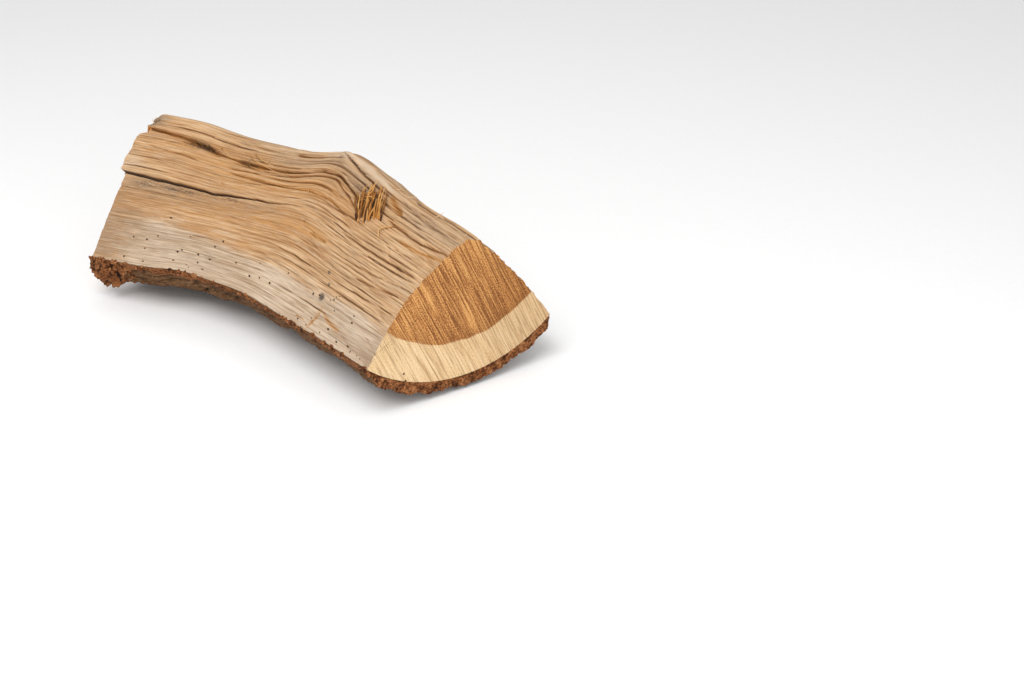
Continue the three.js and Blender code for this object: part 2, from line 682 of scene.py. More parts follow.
@dataclass(frozen=True)
class SplitFaceRelief:
    """How a split face is torn: ridges of fibre, ledges, cracks and pits.

    Attributes:
        seed: Picks the pattern.
        furrows: The cracks and grooves placed one by one.
        dimples: The knots, dents and lumps placed one by one.
        patches: The tinted patches placed one by one: coloured wood, painted shade and painted highlight.
        fine_cracks: How many short cracks are scattered over it.
        beetle_holes: How many beetle holes are scattered in its sapwood.
        sapwood_from: Where its sapwood starts, as (share along, share down) stops.
        rough_until: The share along the log up to which it is torn most roughly.
    """

    seed: int
    furrows: tuple[Furrow, ...]
    dimples: tuple[Dimple, ...]
    patches: tuple[Patch, ...]
    fine_cracks: int
    beetle_holes: int
    sapwood_from: Stops
    rough_until: float

    def scattered_cracks(self) -> tuple[Furrow, ...]:
        """Short hairline cracks, the same ones each run.

        Returns:
            The cracks.
        """
        rng = np.random.default_rng(self.seed)
        cracks = []
        for _ in range(self.fine_cracks):
            start, length, down = rng.uniform(0, 0.97), rng.uniform(0.05, 0.35), rng.uniform(0.03, 0.97)
            if rng.uniform() < 0.45:
                start *= self.rough_until
            drift = rng.normal(0, 0.004)
            path = ((start, down), (start + length / 2, down + drift), (start + length, down))
            depth, width, ledge = rng.uniform(0.2, 0.75), rng.uniform(0.35, 0.6), rng.uniform(0, 0.4)
            cracks.append(Furrow(path, depth, width, ledge, ledge_width_mm=2.5))
        return tuple(cracks)

    def scattered_holes(self) -> tuple[Dimple, ...]:
        """Beetle holes in the sapwood, with a few just above it.

        Returns:
            The holes.
        """
        rng = np.random.default_rng(self.seed + 1)
        holes = []
        for _ in range(self.beetle_holes):
            along = rng.uniform(0.02, 0.95)
            edge = float(along_stops(along, self.sapwood_from))
            down = edge + (1 - edge) * rng.uniform(-0.1, 0.93)
            holes.append(Dimple(along, down, rng.uniform(0.45, 0.75), 1.6))
        return tuple(holes)

    def roughness(self, face: FaceGrid) -> Array:
        """How roughly the face is torn.

        Args:
            face: The face's grid.

        Returns:
            From about 0.25 where it is calm to about 1.7 where it is roughest.
        """
        patch = ease(Noise(self.seed + 7).at(face.run / 60, face.depth / 16), -0.3, 0.5)
        near = 1 - ease(face.along, self.rough_until - 0.12, self.rough_until + 0.12)
        calm = ease(face.down, 0.72, 0.8)
        by_crest = 1 - ease(face.down, 0.28, 0.45)
        return (0.45 + 0.45 * patch + 0.45 * near + 0.35 * by_crest) * (1 - 0.45 * calm)

    def fibres(self, face: FaceGrid) -> Array:
        """The ridges of fibre all over the face.

        Args:
            face: The face's grid.

        Returns:
            Millimetres outwards at each point.
        """
        across = face.depth + 1.2 * Noise(self.seed + 2).at(face.run / 70, face.depth / 30)
        broad = 0.45 * Noise(self.seed + 3).layered(across / 9, face.run / 110, 2)
        ridges = 0.30 * Noise(self.seed + 5).at(across / 1.8, face.run / 120)
        fine = 0.22 * Noise(self.seed + 6).at(across / 0.95, face.run / 75)
        return broad + (ridges + fine) * self.roughness(face)

    def ledges(self, face: FaceGrid) -> Array:
        """Low sharp-edged terraces where the wood let go one growth ring at a time.

        Args:
            face: The face's grid.

        Returns:
            Millimetres outwards at each point.
        """
        total = np.zeros(face.depth.shape)
        for seed, spacing, height in ((8, 15.0, 0.8), (9, 5.5, 0.42)):
            drift = Noise(self.seed + seed).layered(face.depth / (2 * spacing), face.run / 160, 2)
            count = 1.3 * drift + face.depth / spacing
            step = count - np.floor(count)
            total += height * (ease(step, 0.0, 0.13) - step)
        return total * self.roughness(face)

    def relief(self, face: FaceGrid) -> Array:
        """The whole relief of the face.

        Args:
            face: The face's grid.

        Returns:
            Millimetres outwards at each point.
        """
        rough = self.roughness(face)
        total = self.fibres(face) + self.ledges(face)
        for crack in self.scattered_cracks():
            total += crack.relief(face) * rough
        for furrow in self.furrows:
            splinters = Noise(self.seed + 20).layered(face.depth, face.run / 9, 2)
            total += furrow.relief(face) + 1.1 * furrow.raw(face) * splinters
        for dimple in self.dimples + self.scattered_holes():
            total -= dimple.depth_mm * dimple.mask(face)
        return total

    def marks(self, face: FaceGrid, relief: Array) -> dict[str, Array]:
        """The named values that the finishes read on this face.

        Args:
            face: The face's grid.
            relief: Its relief.

        Returns:
            One number for each point: pit, knot, sap and each tint, mostly from 0 to 1, hollow, which is
            about 0 on level wood and more in a groove, and height, the relief itself.
        """
        blank = np.zeros(relief.shape)
        made = {tint.value: blank.copy() for tint in Tint}
        for furrow in self.furrows:
            made["raw"] = np.maximum(made["raw"], furrow.raw(face))
        for patch in self.patches:
            name = patch.tint.value
            made[name] = made[name] + patch.amount(face)
        made["pit"] = np.maximum.reduce([hole.mask(face) for hole in self.scattered_holes()])
        made["knot"] = np.maximum.reduce([dimple.stain * dimple.mask(face) for dimple in self.dimples])
        edge_mm = along_stops(face.along, self.sapwood_from) * float(face.height_mm.mean())
        wave = 2.2 * Noise(self.seed + 9).layered(face.run / 45, face.depth / 5, 3)
        made["sap"] = np.clip((face.depth + wave - edge_mm) / 11 + 0.5, 0, 1)
        # How far each point lies below its neighbours across the grain; the finish paints shade in the
        # grooves and a highlight on the ridges from it.
        made["hollow"] = soften_columns(relief, 4) - relief
        made["height"] = relief
        return made


# --------------------------------------------------------------------------- the wood


@dataclass
class WoodWedge:
    """The wedge of wood: two torn split faces and two sawn ends.

    Attributes:
        sections: The wood node's sections.
        front: How the broad split face is torn.
        back: How the narrow split face is torn.
        rows: Grid rows along the log.
        front_columns: Grid columns down the broad face.
        back_columns: Grid columns down the narrow face.
        under_columns: Grid columns under the bark, an even number.
        crest_round_mm: How far the crest is worn down at the far cut.
        ragged_mm: How ragged the far cut's upper edge is.
        places: The sheet's points, by row and column, once it is built.
    """

    sections: NodeSections
    front: SplitFaceRelief
    back: SplitFaceRelief
    rows: int = 300
    front_columns: int = 190
    back_columns: int = 76
    under_columns: int = 16
    crest_round_mm: float = 3.5
    ragged_mm: float = 1.6
    places: Array = field(init=False)

    def build(self) -> bpy.types.Object:
        """Makes the wood.

        Returns:
            The object.
        """
        shares = np.linspace(0, 1, self.rows + 1)
        half = self.under_columns // 2
        down_front = np.linspace(1, 0, self.front_columns + 1)
        down_back = np.linspace(0, 1, self.back_columns + 1)
        outline, corners = self.outline(shares, half, down_front, down_back)
        front_at = slice(half, half + self.front_columns + 1)
        back_at = slice(front_at.stop - 1, front_at.stop + self.back_columns)
        self.straighten(outline[:, front_at], down_front)
        push = np.zeros(outline.shape)
        marks = self.blank_marks(outline.shape[:2], shares)
        faces = ((front_at, down_front, self.front, 1), (back_at, down_back, self.back, 2))
        for face_at, downs, relief, corner in faces:
            self.tear(corners, shares, face_at, downs, relief, corner, push, marks)
        outline += push
        self.wear_far_crest(outline, shares, front_at, down_front)
        along = shares[:, None] + self.ragged_end(shares, front_at, down_front, outline.shape[1])
        self.places = self.sections.fan.place(along, outline[..., 0], outline[..., 1])
        middles = np.repeat(self.places[[0, -1]].mean(axis=1)[:, None], outline.shape[1], axis=1)
        return WrappedSheet("split_wood", self.places, marks, middles).build()

    def outline(self, shares: Array, half: int, down_front: Array, down_back: Array) -> tuple[Array, Array]:
        """Lays the plain sheet round the sections.

        Args:
            shares: Share along the log of each row.
            half: How many columns there are under each half of the bark.
            down_front: Share down the broad face of each of its columns.
            down_back: Share down the narrow face of each of its columns.

        Returns:
            Reach and height by row and column, and each row's crest, front and back corners.
        """
        cuts = np.clip(shares, OFF_THE_CUT, 1 - OFF_THE_CUT)
        wedges = [WedgeSection.of(self.sections.at(share)) for share in cuts]
        under_front, under_back = np.linspace(0.5, 0, half + 1)[:-1], np.linspace(1, 0.5, half + 1)[1:]
        rows = []
        for wedge in wedges:
            front, back = wedge.down_front(down_front), wedge.down_back(down_back)[1:]
            rows.append(np.concatenate([wedge.under(under_front), front, back, wedge.under(under_back)]))
        corners = np.array([[wedge.crest, wedge.front, wedge.back] for wedge in wedges])
        flat = soften_rows(corners.reshape(len(wedges), -1), 5)
        return soften_rows(np.array(rows), 5), flat.reshape(corners.shape)

    @staticmethod
    def straighten(front: Array, downs: Array) -> None:
        """Lets the bend of the crest die away down the broad face, as the fibres do."""
        calm = (ease(downs, 0.12, 0.5) * (1 - ease(downs, 0.85, 1.0)))[None, :, None]
        front += (soften_rows(front, 36) - front) * calm

    def blank_marks(self, shape: tuple[int, int], shares: Array) -> dict[str, Array]:
        """Marks for a sheet of sapwood with nothing on it.

        Args:
            shape: How many rows and columns there are.
            shares: Share along the log of each row.

        Returns:
            The marks by name.
        """
        names = ("pit", "knot", "raw", "hollow", "warm", "soot", "grey", "pale", "height")
        marks = {name: np.zeros(shape) for name in names}
        marks["sap"] = np.ones(shape)
        marks["grain"] = np.zeros(shape + (3,))
        marks["grain"][..., 0] = shares[:, None] * LENGTH_MM * MM
        return marks

    def tear(self, corners: Array, shares: Array, face_at: slice, downs: Array,
             relief: SplitFaceRelief, corner: int, push: Array, marks: dict[str, Array]) -> None:
        """Adds one split face's relief and marks to the sheet.

        Args:
            corners: The crest, front and back corners of each row.
            shares: Share along the log of each row.
            face_at: The columns of this face.
            downs: Share down the face of each of those columns.
            relief: How the face is torn.
            corner: Which lower corner the face ends at, 1 for the front and 2 for the back.
            push: What is added to the outline; this face's part is filled in.
            marks: The sheet's marks; this face's part is filled in.
        """
        line = corners[:, corner] - corners[:, 0]
        height = np.linalg.norm(line, axis=1, keepdims=True)
        side = 1 if corner == 1 else -1
        out = side * np.stack([line[:, 1], -line[:, 0]], axis=1) / height
        along, down = np.broadcast_arrays(shares[:, None], downs)
        face = FaceGrid(along, down, LENGTH_MM, height / MM)
        raised = relief.relief(face)
        at_edges = (1 - ease(downs, 0.985, 1.0)) * (0.5 + 0.5 * ease(downs, 0.0, 0.02))
        push[:, face_at] += out[:, None, :] * (raised * at_edges * MM)[..., None]
        for name, values in relief.marks(face, raised).items():
            marks[name][:, face_at] = values
        marks["grain"][:, face_at, 1] = side * face.depth * MM

    def wear_far_crest(self, outline: Array, shares: Array, front_at: slice, downs: Array) -> None:
        """Rounds the crest off where it meets the far cut.

        Args:
            outline: Reach and height by row and column, which is changed.
            shares: Share along the log of each row.
            front_at: The columns of the broad face.
            downs: Share down the face of each of those columns.
        """
        run = ease(shares, 0.965, 1.0)[:, None]
        fall = run**2 * self.crest_round_mm * MM
        on_crest = (1 - ease(downs, 0.03, 0.11))[None, :]
        outline[:, front_at, 1] -= fall * on_crest
        worn = 12
        behind = slice(front_at.stop, front_at.stop + worn)
        outline[:, behind, 1] -= fall * (1 - ease(np.arange(worn), 0, worn))[None, :]

    def ragged_end(self, shares: Array, front_at: slice, downs: Array, columns: int) -> Array:
        """How far the far end's upper edge is torn back.

        Args:
            shares: Share along the log of each row.
            front_at: The columns of the broad face.
            downs: Share down the face of each of those columns.
            columns: How many columns the sheet has.

        Returns:
            The change of share by row and column.
        """
        torn = np.zeros((len(shares), columns))
        teeth = np.abs(Noise(31).layered(downs * 16, 0.5, 3)) * (1 - ease(downs, 0.40, 0.46))
        torn[:, front_at] = -teeth * ease(shares, 0.985, 1.0)[:, None] * self.ragged_mm / LENGTH_MM
        return torn

    def on_front(self, along: float, down: float, lift_mm: float = 0.0) -> Vector:
        """A point on the torn broad face, or above it.

        Args:
            along: Share along the log.
            down: Share down the face.
            lift_mm: How far out from the face.

        Returns:
            The point.
        """
        row = min(max(round(along * self.rows), 1), self.rows - 1)
        first = self.under_columns // 2
        column = first + min(max(round((1 - down) * self.front_columns), 1), self.front_columns - 1)
        step_along = self.places[min(row + 9, self.rows), column] - self.places[max(row - 9, 0), column]
        step_up = self.places[row, column + 8] - self.places[row, column - 8]
        out = Vector(np.cross(step_along, step_up)).normalized()
        if out.z < 0:
            out.negate()
        nearby = self.places[max(row - 4, 0) : row + 5, column - 5 : column + 6].reshape(-1, 3)
        return Vector(nearby.mean(axis=0)) + out * lift_mm * MM


# --------------------------------------------------------------------------- the bark


@dataclass
class BarkSlab:
    """The bark: a rough slab on the growth ring, torn along its edges and sawn at its ends.

    Attributes:
        sections: The bark node's sections.
        wood: The wood node's sections.
        rows: Grid rows along the log.
        columns: Grid columns round the outside.
        setback: How far its ends stand back from the saw cuts, as a share of the length.
        spacing: How the columns bunch up towards the front edge, as (share of columns, share of the way
            round) stops.
        gap_mm: The room between it and the wood.
        flap_mm: How far the flap at the far front corner hangs past the cut.
        places: The sheet's points, by row and column, once it is built.
    """

    sections: NodeSections
    wood: NodeSections
    rows: int = 240
    columns: int = 190
    setback: float = 0.003
    spacing: Stops = ((0.0, 0.0), (0.32, 0.14), (0.86, 0.92), (1.0, 1.0))
    gap_mm: float = 0.3
    flap_mm: float = 4.5
    places: Array = field(init=False)

    def build(self) -> bpy.types.Object:
        """Makes the bark.

        Returns:
            The object.
        """
        shares = np.linspace(self.setback, 1 - self.setback, self.rows + 1)
        spread = along_stops(np.linspace(0, 1, self.columns + 1), self.spacing)
        angle, thick, arc = np.zeros((3, self.rows + 1, self.columns + 1))
        middle, inner = np.zeros((self.rows + 1, 2)), np.zeros(self.rows + 1)
        for row, share in enumerate(shares):
            wedge = WedgeSection.of(self.wood.at(share))
            middle[row], radius = wedge.ring()
            inner[row] = radius + self.gap_mm * MM
            angle[row], thick[row], arc[row] = self.outside(share, middle[row], inner[row], spread)
        angle, thick = soften_rows(angle, 4), soften_rows(thick, 4)
        marks, thick = self.roughen(shares, arc, thick)
        outer = self.polar(middle, inner[:, None] + thick, angle)
        inside = self.polar(middle, inner[:, None] + 0 * thick, angle)
        outline = np.concatenate([outer, inside[:, -2::-1]], axis=1)
        outline[..., 1] = np.maximum(outline[..., 1], 0.0)
        along = shares[:, None] + self.overhang(shares)
        self.places = self.wood.fan.place(along, outline[..., 0], outline[..., 1])
        core = (self.places[:, : self.columns + 1] + self.places[:, ::-1][:, : self.columns + 1]) / 2
        middles = np.concatenate([core, core[:, -2::-1]], axis=1)[[0, -1]]
        mirrored = {name: np.concatenate([mark, mark[:, -2::-1]], axis=1) for name, mark in marks.items()}
        rough_ends = {"end_rings": 8, "grit_mm": 0.5, "grain_mm": 1.2}
        return WrappedSheet("bark_slab", self.places, mirrored, middles, **rough_ends).build()

    def overhang(self, shares: Array) -> Array:
        """How far the ragged flap at the far front corner hangs past the cut.

        Args:
            shares: Share along the log of each row.

        Returns:
            The change of share by row and column.
        """
        column = np.arange(2 * self.columns + 1)
        column = np.minimum(column, 2 * self.columns - column) / self.columns
        ragged = 1 + 0.5 * Noise(97).layered(column * 22, 0.5, 2)
        on_flap = ease(shares, 0.9, 1.0)[:, None] * (1 - ease(column, 0.2, 0.42))
        return on_flap * ragged * self.flap_mm / LENGTH_MM

    def outside(
        self, share: float, middle: Array, inner: float, spread: Array
    ) -> tuple[Array, Array, Array]:
        """Measures the outside of one section.

        Args:
            share: Share along the log.
            middle: Reach and height of the growth rings' middle.
            inner: The radius of the bark's inside.
            spread: Share of the way round of each column.

        Returns:
            Angle from straight down, thickness, and millimetres round the outside, for each column.
        """
        offset = self.sections.at(share) - middle
        angle, radius = np.arctan2(offset[:, 0], -offset[:, 1]), np.hypot(offset[:, 0], offset[:, 1])
        order = np.argsort(angle)
        angle, radius = angle[order], radius[order]
        outside = radius > inner + MM
        angle = np.concatenate([angle[:1], angle[outside], angle[-1:]])
        thick = np.concatenate([[0.0], radius[outside] - inner, [0.0]])
        steps = np.hypot(np.diff(angle) * inner, np.diff(thick))
        distance = np.concatenate([[0.0], np.cumsum(steps)])
        wanted = spread * distance[-1]
        return np.interp(wanted, distance, angle), np.interp(wanted, distance, thick), wanted / MM

    def roughen(self, shares: Array, arc: Array, thick: Array) -> tuple[dict[str, Array], Array]:
        """Breaks the bark into plates and crumbs.

        Args:
            shares: Share along the log of each row.
            arc: Millimetres round the outside of each point.
            thick: The plain thickness.

        Returns:
            The marks, and the rough thickness.
        """
        run = (shares * LENGTH_MM)[:, None] + 0 * arc
        body = np.minimum(thick / (7 * MM), 1.0)
        warp = 3 * Noise(70).layered(run / 22, arc / 22, 2)
        fissure = np.exp(-((Noise(71).layered((arc + warp) / 8, (run + warp) / 30, 2) / 0.13) ** 2))
        plates = Noise(73).layered(run / 14, arc / 9, 3)
        crumbs = Noise(76).layered(run / 3.2, arc / 2.6, 3)
        at_cut = 0.4 + 0.6 * ease(shares, 0.0, 0.12)[:, None]
        dug = (2.8 * fissure + 0.55 * (1 - plates)) * at_cut + 0.55 * np.abs(crumbs)
        from_edge = np.minimum(arc, arc[:, -1:] - arc)
        torn = 1 + 0.35 * Noise(80).layered(run / 16, 0.3, 3)
        edge = 1 - ease(from_edge, 2 * torn, 11 * torn)
        granules = 0.6 * Noise(83).layered(run / 2.2, arc / 1.8, 3) + 0.7 * Noise(86).at(run / 7, arc / 6)
        notch = 2.4 * ease(Noise(88).layered(run / 13, 0.7, 2), 0.15, 0.5)
        flap = ease(shares, 0.86, 0.93)[:, None] * (1 - ease(arc, 24, 40))
        granules *= 0.7 + 0.9 * ease(shares, 0.02, 0.10)[:, None]
        lumps = 4.2 * Noise(91).layered(run / 9, arc / 8, 2) + 2.6 * Noise(94).at(run / 3.2, arc / 3.2)
        granules += flap * (lumps - 2.6)
        edge = np.maximum(edge, flap)
        off_plates = dug * body * (1 - edge)
        off_edges = (granules + notch) * edge * np.minimum(thick / (3 * MM), 1)
        rough = thick - (off_plates + off_edges) * MM
        rough = np.maximum(rough, np.minimum(thick, 0.25 * MM))
        # How far each point lies below its neighbours; the bark finish paints shade in these pits.
        pits = (soften_columns(soften_rows(rough, 2), 3) - rough) / MM
        grain = np.stack([run * MM, arc * MM, 0 * arc], axis=-1)
        rim, fissure = np.clip(edge, 0, 1), fissure * (1 - edge)
        return {"rim": rim, "hollow": pits, "grain": grain, "fissure": fissure}, rough

    @staticmethod
    def polar(middle: Array, radius: Array, angle: Array) -> Array:
        """Reach and height of points at an angle from straight down."""
        reach = middle[:, :1] + radius * np.sin(angle)
        return np.stack([reach, middle[:, 1:] - radius * np.cos(angle)], axis=-1)


@dataclass(frozen=True)
class BarkCrumbs:
    """Loose crumbs of bark that cling along the torn front edge and on the flap.

    Attributes:
        bark: The bark, already built.
        seed: Picks their places and sizes.
        edge_crumbs: How many lie along the front edge.
        flap_crumbs: How many more are on the flap at the far corner.
        largest_mm: The radius of the largest.
    """

    bark: BarkSlab
    seed: int = 21
    edge_crumbs: int = 120
    flap_crumbs: int = 34
    largest_mm: float = 1.9

    def build(self, material: bpy.types.Material) -> bpy.types.Object:
        """Makes the crumbs and dresses them.

        Args:
            material: What they wear.

        Returns:
            The object.
        """
        rng = np.random.default_rng(self.seed)
        shape = bmesh.new()
        rows, columns = self.bark.rows, self.bark.columns
        for number in range(self.edge_crumbs + self.flap_crumbs):
            on_flap = number >= self.edge_crumbs
            row = int(rows * (rng.uniform(0.88, 1.0) if on_flap else rng.uniform(0.0, 1.0)))
            column = int(columns * (rng.uniform(0.0, 0.22) if on_flap else rng.uniform(0.0, 0.05)))
            self.crumb(shape, Vector(self.bark.places[row, column]), rng)
        made = finished_object(shape, "bark_crumbs")
        made.data.materials.append(material)
        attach(made, "root")
        LOG.info("bark_crumbs: %d faces", len(made.data.polygons))
        return made

    def crumb(self, shape: bmesh.types.BMesh, place: Vector, rng: np.random.Generator) -> None:
        """Adds one lumpy crumb.

        Args:
            shape: The mesh that it joins.
            place: Its middle.
            rng: Where its size and turn come from.
        """
        size = self.largest_mm * MM * rng.uniform(0.35, 1.0)
        grown = bmesh.ops.create_icosphere(shape, subdivisions=2, radius=1.0)["verts"]
        squash = Vector(rng.uniform(0.6, 1.2, 3) * size)
        lumps = Noise(int(rng.integers(1000)))
        for vert in grown:
            x, y, z = vert.co
            vert.co = vert.co * (1 + 0.45 * float(lumps.layered(x * 1.7 + z, y * 1.7 - z, 2)))
        turn = Matrix.Rotation(rng.uniform(0, math.tau), 3, Vector(rng.normal(0, 1, 3)).normalized())
        for vert in grown:
            vert.co = turn @ Vector(part * scale for part, scale in zip(vert.co, squash)) + place
            vert.co.z = max(vert.co.z, 0.0)


# --------------------------------------------------------------------------- loose fibres


@dataclass(frozen=True)
class Strand:
    """One fibre or splinter: a tapered rod along a curve.

    Attributes:
        path: The points that the curve is drawn by; it meets the first and the last.
        width_mm: How wide it is at its root.
        flat: Its thickness as a share of its width.
        steps: How many pieces it is made of.
        tip: Its width at the tip as a share of its width at the root.
        tone: How light it is, from 0 to 1; its root is darker, a painted shade where it meets the wood.
    """

    path: tuple[Vector, ...]
    width_mm: float
    flat: float = 0.5
    steps: int = 7
    tip: float = 0.3
    tone: float = 0.5

    def at(self, share: float) -> Vector:
        """Finds a point on the curve.

        Args:
            share: Share of the way.

        Returns:
            The point.
        """
        points = list(self.path)
        while len(points) > 1:
            points = [near.lerp(far, share) for near, far in zip(points, points[1:])]
        return points[0]

    def add_to(self, shape: bmesh.types.BMesh, tone: Any) -> None:
        """Adds the strand to a mesh, and writes how light it is to the mesh's tone layer.

        Args:
            shape: The mesh.
            tone: Its tone layer.
        """
        ring = bmesh.ops.create_circle(shape, cap_ends=False, segments=5, radius=1.0)["verts"]
        corners = {vert: vert.co.copy() for vert in ring}
        edges = list(dict.fromkeys(edge for vert in ring for edge in vert.link_edges))
        self.set_ring(corners, 0.0, tone)
        caps = [edges]
        for step in range(1, self.steps + 1):
            grown = bmesh.ops.extrude_edge_only(shape, edges=edges)["geom"]
            verts = [part for part in grown if isinstance(part, bmesh.types.BMVert)]
            edges = [part for part in grown if isinstance(part, bmesh.types.BMEdge) and part.is_boundary]
            by_place = {tuple(vert.co): flat for vert, flat in corners.items()}
            corners = {vert: by_place[tuple(vert.co)] for vert in verts}
            self.set_ring(corners, step / self.steps, tone)
        caps.append(edges)
        for cap in caps:
            bmesh.ops.contextual_create(shape, geom=cap)

    def set_ring(self, corners: dict[Any, Vector], share: float, tone: Any) -> None:
        """Puts a ring of points round the curve at a share of its length.

        Args:
            corners: Each point of the ring, with its place on a circle of radius 1.
            share: Share of the way along.
            tone: The mesh's tone layer.
        """
        ahead = (self.at(min(share + 0.02, 1.0)) - self.at(max(share - 0.02, 0.0))).normalized()
        side = ahead.cross(Vector((0.31, -0.62, 0.72))).normalized()
        over = ahead.cross(side)
        width = self.width_mm * MM / 2 * (1 + (self.tip - 1) * share)
        for vert, flat in corners.items():
            vert.co = self.at(share) + side * flat.x * width + over * flat.y * width * self.flat
            # Painted shade: the tone falls towards the root, where the strand meets the wood.
            vert[tone] = self.tone - 0.35 * (1 - share) ** 3


@dataclass
class FibreBundle:
    """A piece made of many strands.

    Attributes:
        name: The piece's name.
        strands: Its strands.
        finish: What it wears.
        slot: Its material slot; not used.
    """

    name: str
    strands: list[Strand]
    finish: "FibreFinish"
    slot: Slot

    def build(self) -> bpy.types.Object:
        """Makes the piece and dresses it.

        Returns:
            The object.
        """
        shape = bmesh.new()
        tone = shape.verts.layers.float.new("tone")
        for strand in self.strands:
            strand.add_to(shape, tone)
        bmesh.ops.recalc_face_normals(shape, faces=shape.faces)
        made = finished_object(shape, self.name)
        made.data.materials.append(self.finish.material())
        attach(made, "root")
        LOG.info("%s: %d faces", self.name, len(made.data.polygons))
        return made


@dataclass(frozen=True)
class TornFibres:
    """Where the loose fibres of the broad face are.

    Attributes:
        wood: The wood, already built.
        seed: Picks their small differences.
        tuft_strands: How many strands the tuft has.
        tuft_wisps: How many loose wisps stick out of its top.
    """

    wood: WoodWedge
    seed: int = 5
    tuft_strands: int = 27
    tuft_wisps: int = 14

    def tuft(self) -> list[Strand]:
        """The thick tuft below the hump, its fibres across the grain.

        Returns:
            The strands.
        """
        rng = np.random.default_rng(self.seed)
        roots = ((0.312, 0.285), (0.292, 0.292), (0.265, 0.255), (0.241, 0.205))
        tips = ((0.345, 0.19), (0.342, 0.125), (0.324, 0.066), (0.292, 0.042))
        strands = []
        for number in range(self.tuft_strands):
            share = (number + rng.uniform()) / self.tuft_strands
            root, tip = self.along_line(roots, share), self.along_line(tips, share)
            root = root + (tip - root) * rng.uniform(-0.08, 0.12)
            tip = tip + (root - tip) * rng.uniform(-0.2, 0.38) + (rng.normal(0, 0.006), 0)
            high = rng.uniform(0.4, 3.8)
            sway = np.array([rng.normal(0, 0.007), 0.0])
            path = (
                self.wood.on_front(*root, -1.2),
                self.wood.on_front(*(root * 0.9 + tip * 0.1 + sway), high),
                self.wood.on_front(*(root * 0.45 + tip * 0.55 - sway), high * 1.2),
                self.wood.on_front(*tip, high * rng.uniform(0.2, 1.2)),
            )
            width, tip_width, tone = rng.uniform(0.9, 2.1), rng.uniform(0.3, 0.75), rng.uniform(0.25, 1.0)
            strands.append(Strand(path, width, flat=0.7, steps=9, tip=tip_width, tone=tone))
        for _ in range(self.tuft_wisps):
            share = rng.uniform(0.1, 0.9)
            middle = self.along_line(tips, share)
            root, tip = middle + (0, 0.05), middle + rng.normal(0, (0.015, 0.025))
            path = (
                self.wood.on_front(*root, 1.0),
                self.wood.on_front(*tip, rng.uniform(1.5, 4.0)),
                self.wood.on_front(*(tip + rng.normal(0, 0.015, 2)), rng.uniform(0.5, 4.5)),
            )
            width, tone = rng.uniform(0.4, 0.8), rng.uniform(0.5, 1.0)
            strands.append(Strand(path, width, flat=0.7, tip=0.5, tone=tone))
        return strands

    @staticmethod
    def along_line(points: Sequence[tuple[float, float]], share: float) -> Array:
        """A point a share of the way along a line of points."""
        places = np.linspace(0, 1, len(points))
        return np.array([np.interp(share, places, [point[axis] for point in points]) for axis in (0, 1)])

    def over_face(
        self, points: Sequence[tuple[float, float, float]], width_mm: float, **shape: Any
    ) -> Strand:
        """A strand over the broad face, drawn by (share along, share down, height in mm) points."""
        return Strand(tuple(self.wood.on_front(*point) for point in points), width_mm, **shape)

    def curls(self) -> list[Strand]:
        """The loose curl beside the tuft and fine hairs along the furrows.

        Returns:
            The strands.
        """
        curl = ((0.197, 0.19, 0.3), (0.20, 0.235, 2.2), (0.235, 0.24, 2.6), (0.207, 0.30, 0.2))
        hairs = (
            ((0.70, 0.12, 0.2), (0.67, 0.17, 3.4), (0.61, 0.19, 0.6)),
            ((0.69, 0.10, 0.2), (0.655, 0.15, 2.8), (0.60, 0.165, 0.4)),
            ((0.655, 0.16, 0.3), (0.63, 0.13, 2.6), (0.645, 0.10, 1.2)),
            ((0.79, 0.11, 0.2), (0.765, 0.14, 2.4), (0.74, 0.17, 0.3)),
            ((0.93, 0.17, 0.2), (0.905, 0.20, 1.4), (0.875, 0.19, 0.2)),
            ((0.885, 0.15, 0.2), (0.875, 0.19, 1.6), (0.86, 0.20, 0.2)),
            ((0.72, 0.36, 0.2), (0.715, 0.38, 1.0), (0.70, 0.40, 0.2)),
            ((0.50, 0.285, 0.2), (0.49, 0.30, 1.6), (0.495, 0.315, 0.2)),
            ((0.40, 0.50, 0.1), (0.36, 0.525, 0.9), (0.33, 0.515, 0.1)),
            ((0.45, 0.47, 0.1), (0.41, 0.50, 0.8), (0.37, 0.49, 0.1)),
            ((0.30, 0.955, 0.2), (0.25, 0.94, 0.8), (0.225, 0.985, 0.2)),
            ((0.24, 0.93, 0.2), (0.228, 0.96, 0.9), (0.222, 0.995, 0.4)),
        )
        strands = [self.over_face(curl, 1.1, flat=0.55, steps=12, tip=0.7)]
        return strands + [self.over_face(hair, 0.8, steps=8) for hair in hairs]

    def crest_splinters(self) -> list[Strand]:
        """The pale splinters that stand off the crest.

        Returns:
            The strands.
        """
        splinters = (
            ((0.245, 0.0, -0.5), (0.225, 0.0, 2.0), (0.205, 0.0, 5.5)),
            ((0.13, 0.0, -0.5), (0.115, 0.0, 3.0), (0.095, 0.0, 7.5)),
            ((0.02, 0.0, -0.5), (0.0, 0.0, 2.5), (0.0, 0.0, 3.2)),
            ((0.985, 0.06, -0.5), (0.99, 0.05, 1.5), (0.995, 0.045, 3.5)),
            ((0.29, 0.0, -0.3), (0.28, 0.0, 1.0), (0.265, 0.0, 2.6)),
            ((0.40, 0.0, -0.3), (0.385, 0.0, 1.2), (0.37, 0.0, 1.0)),
        )
        return [self.over_face(path, 0.9, steps=6) for path in splinters]


# --------------------------------------------------------------------------- shader maths


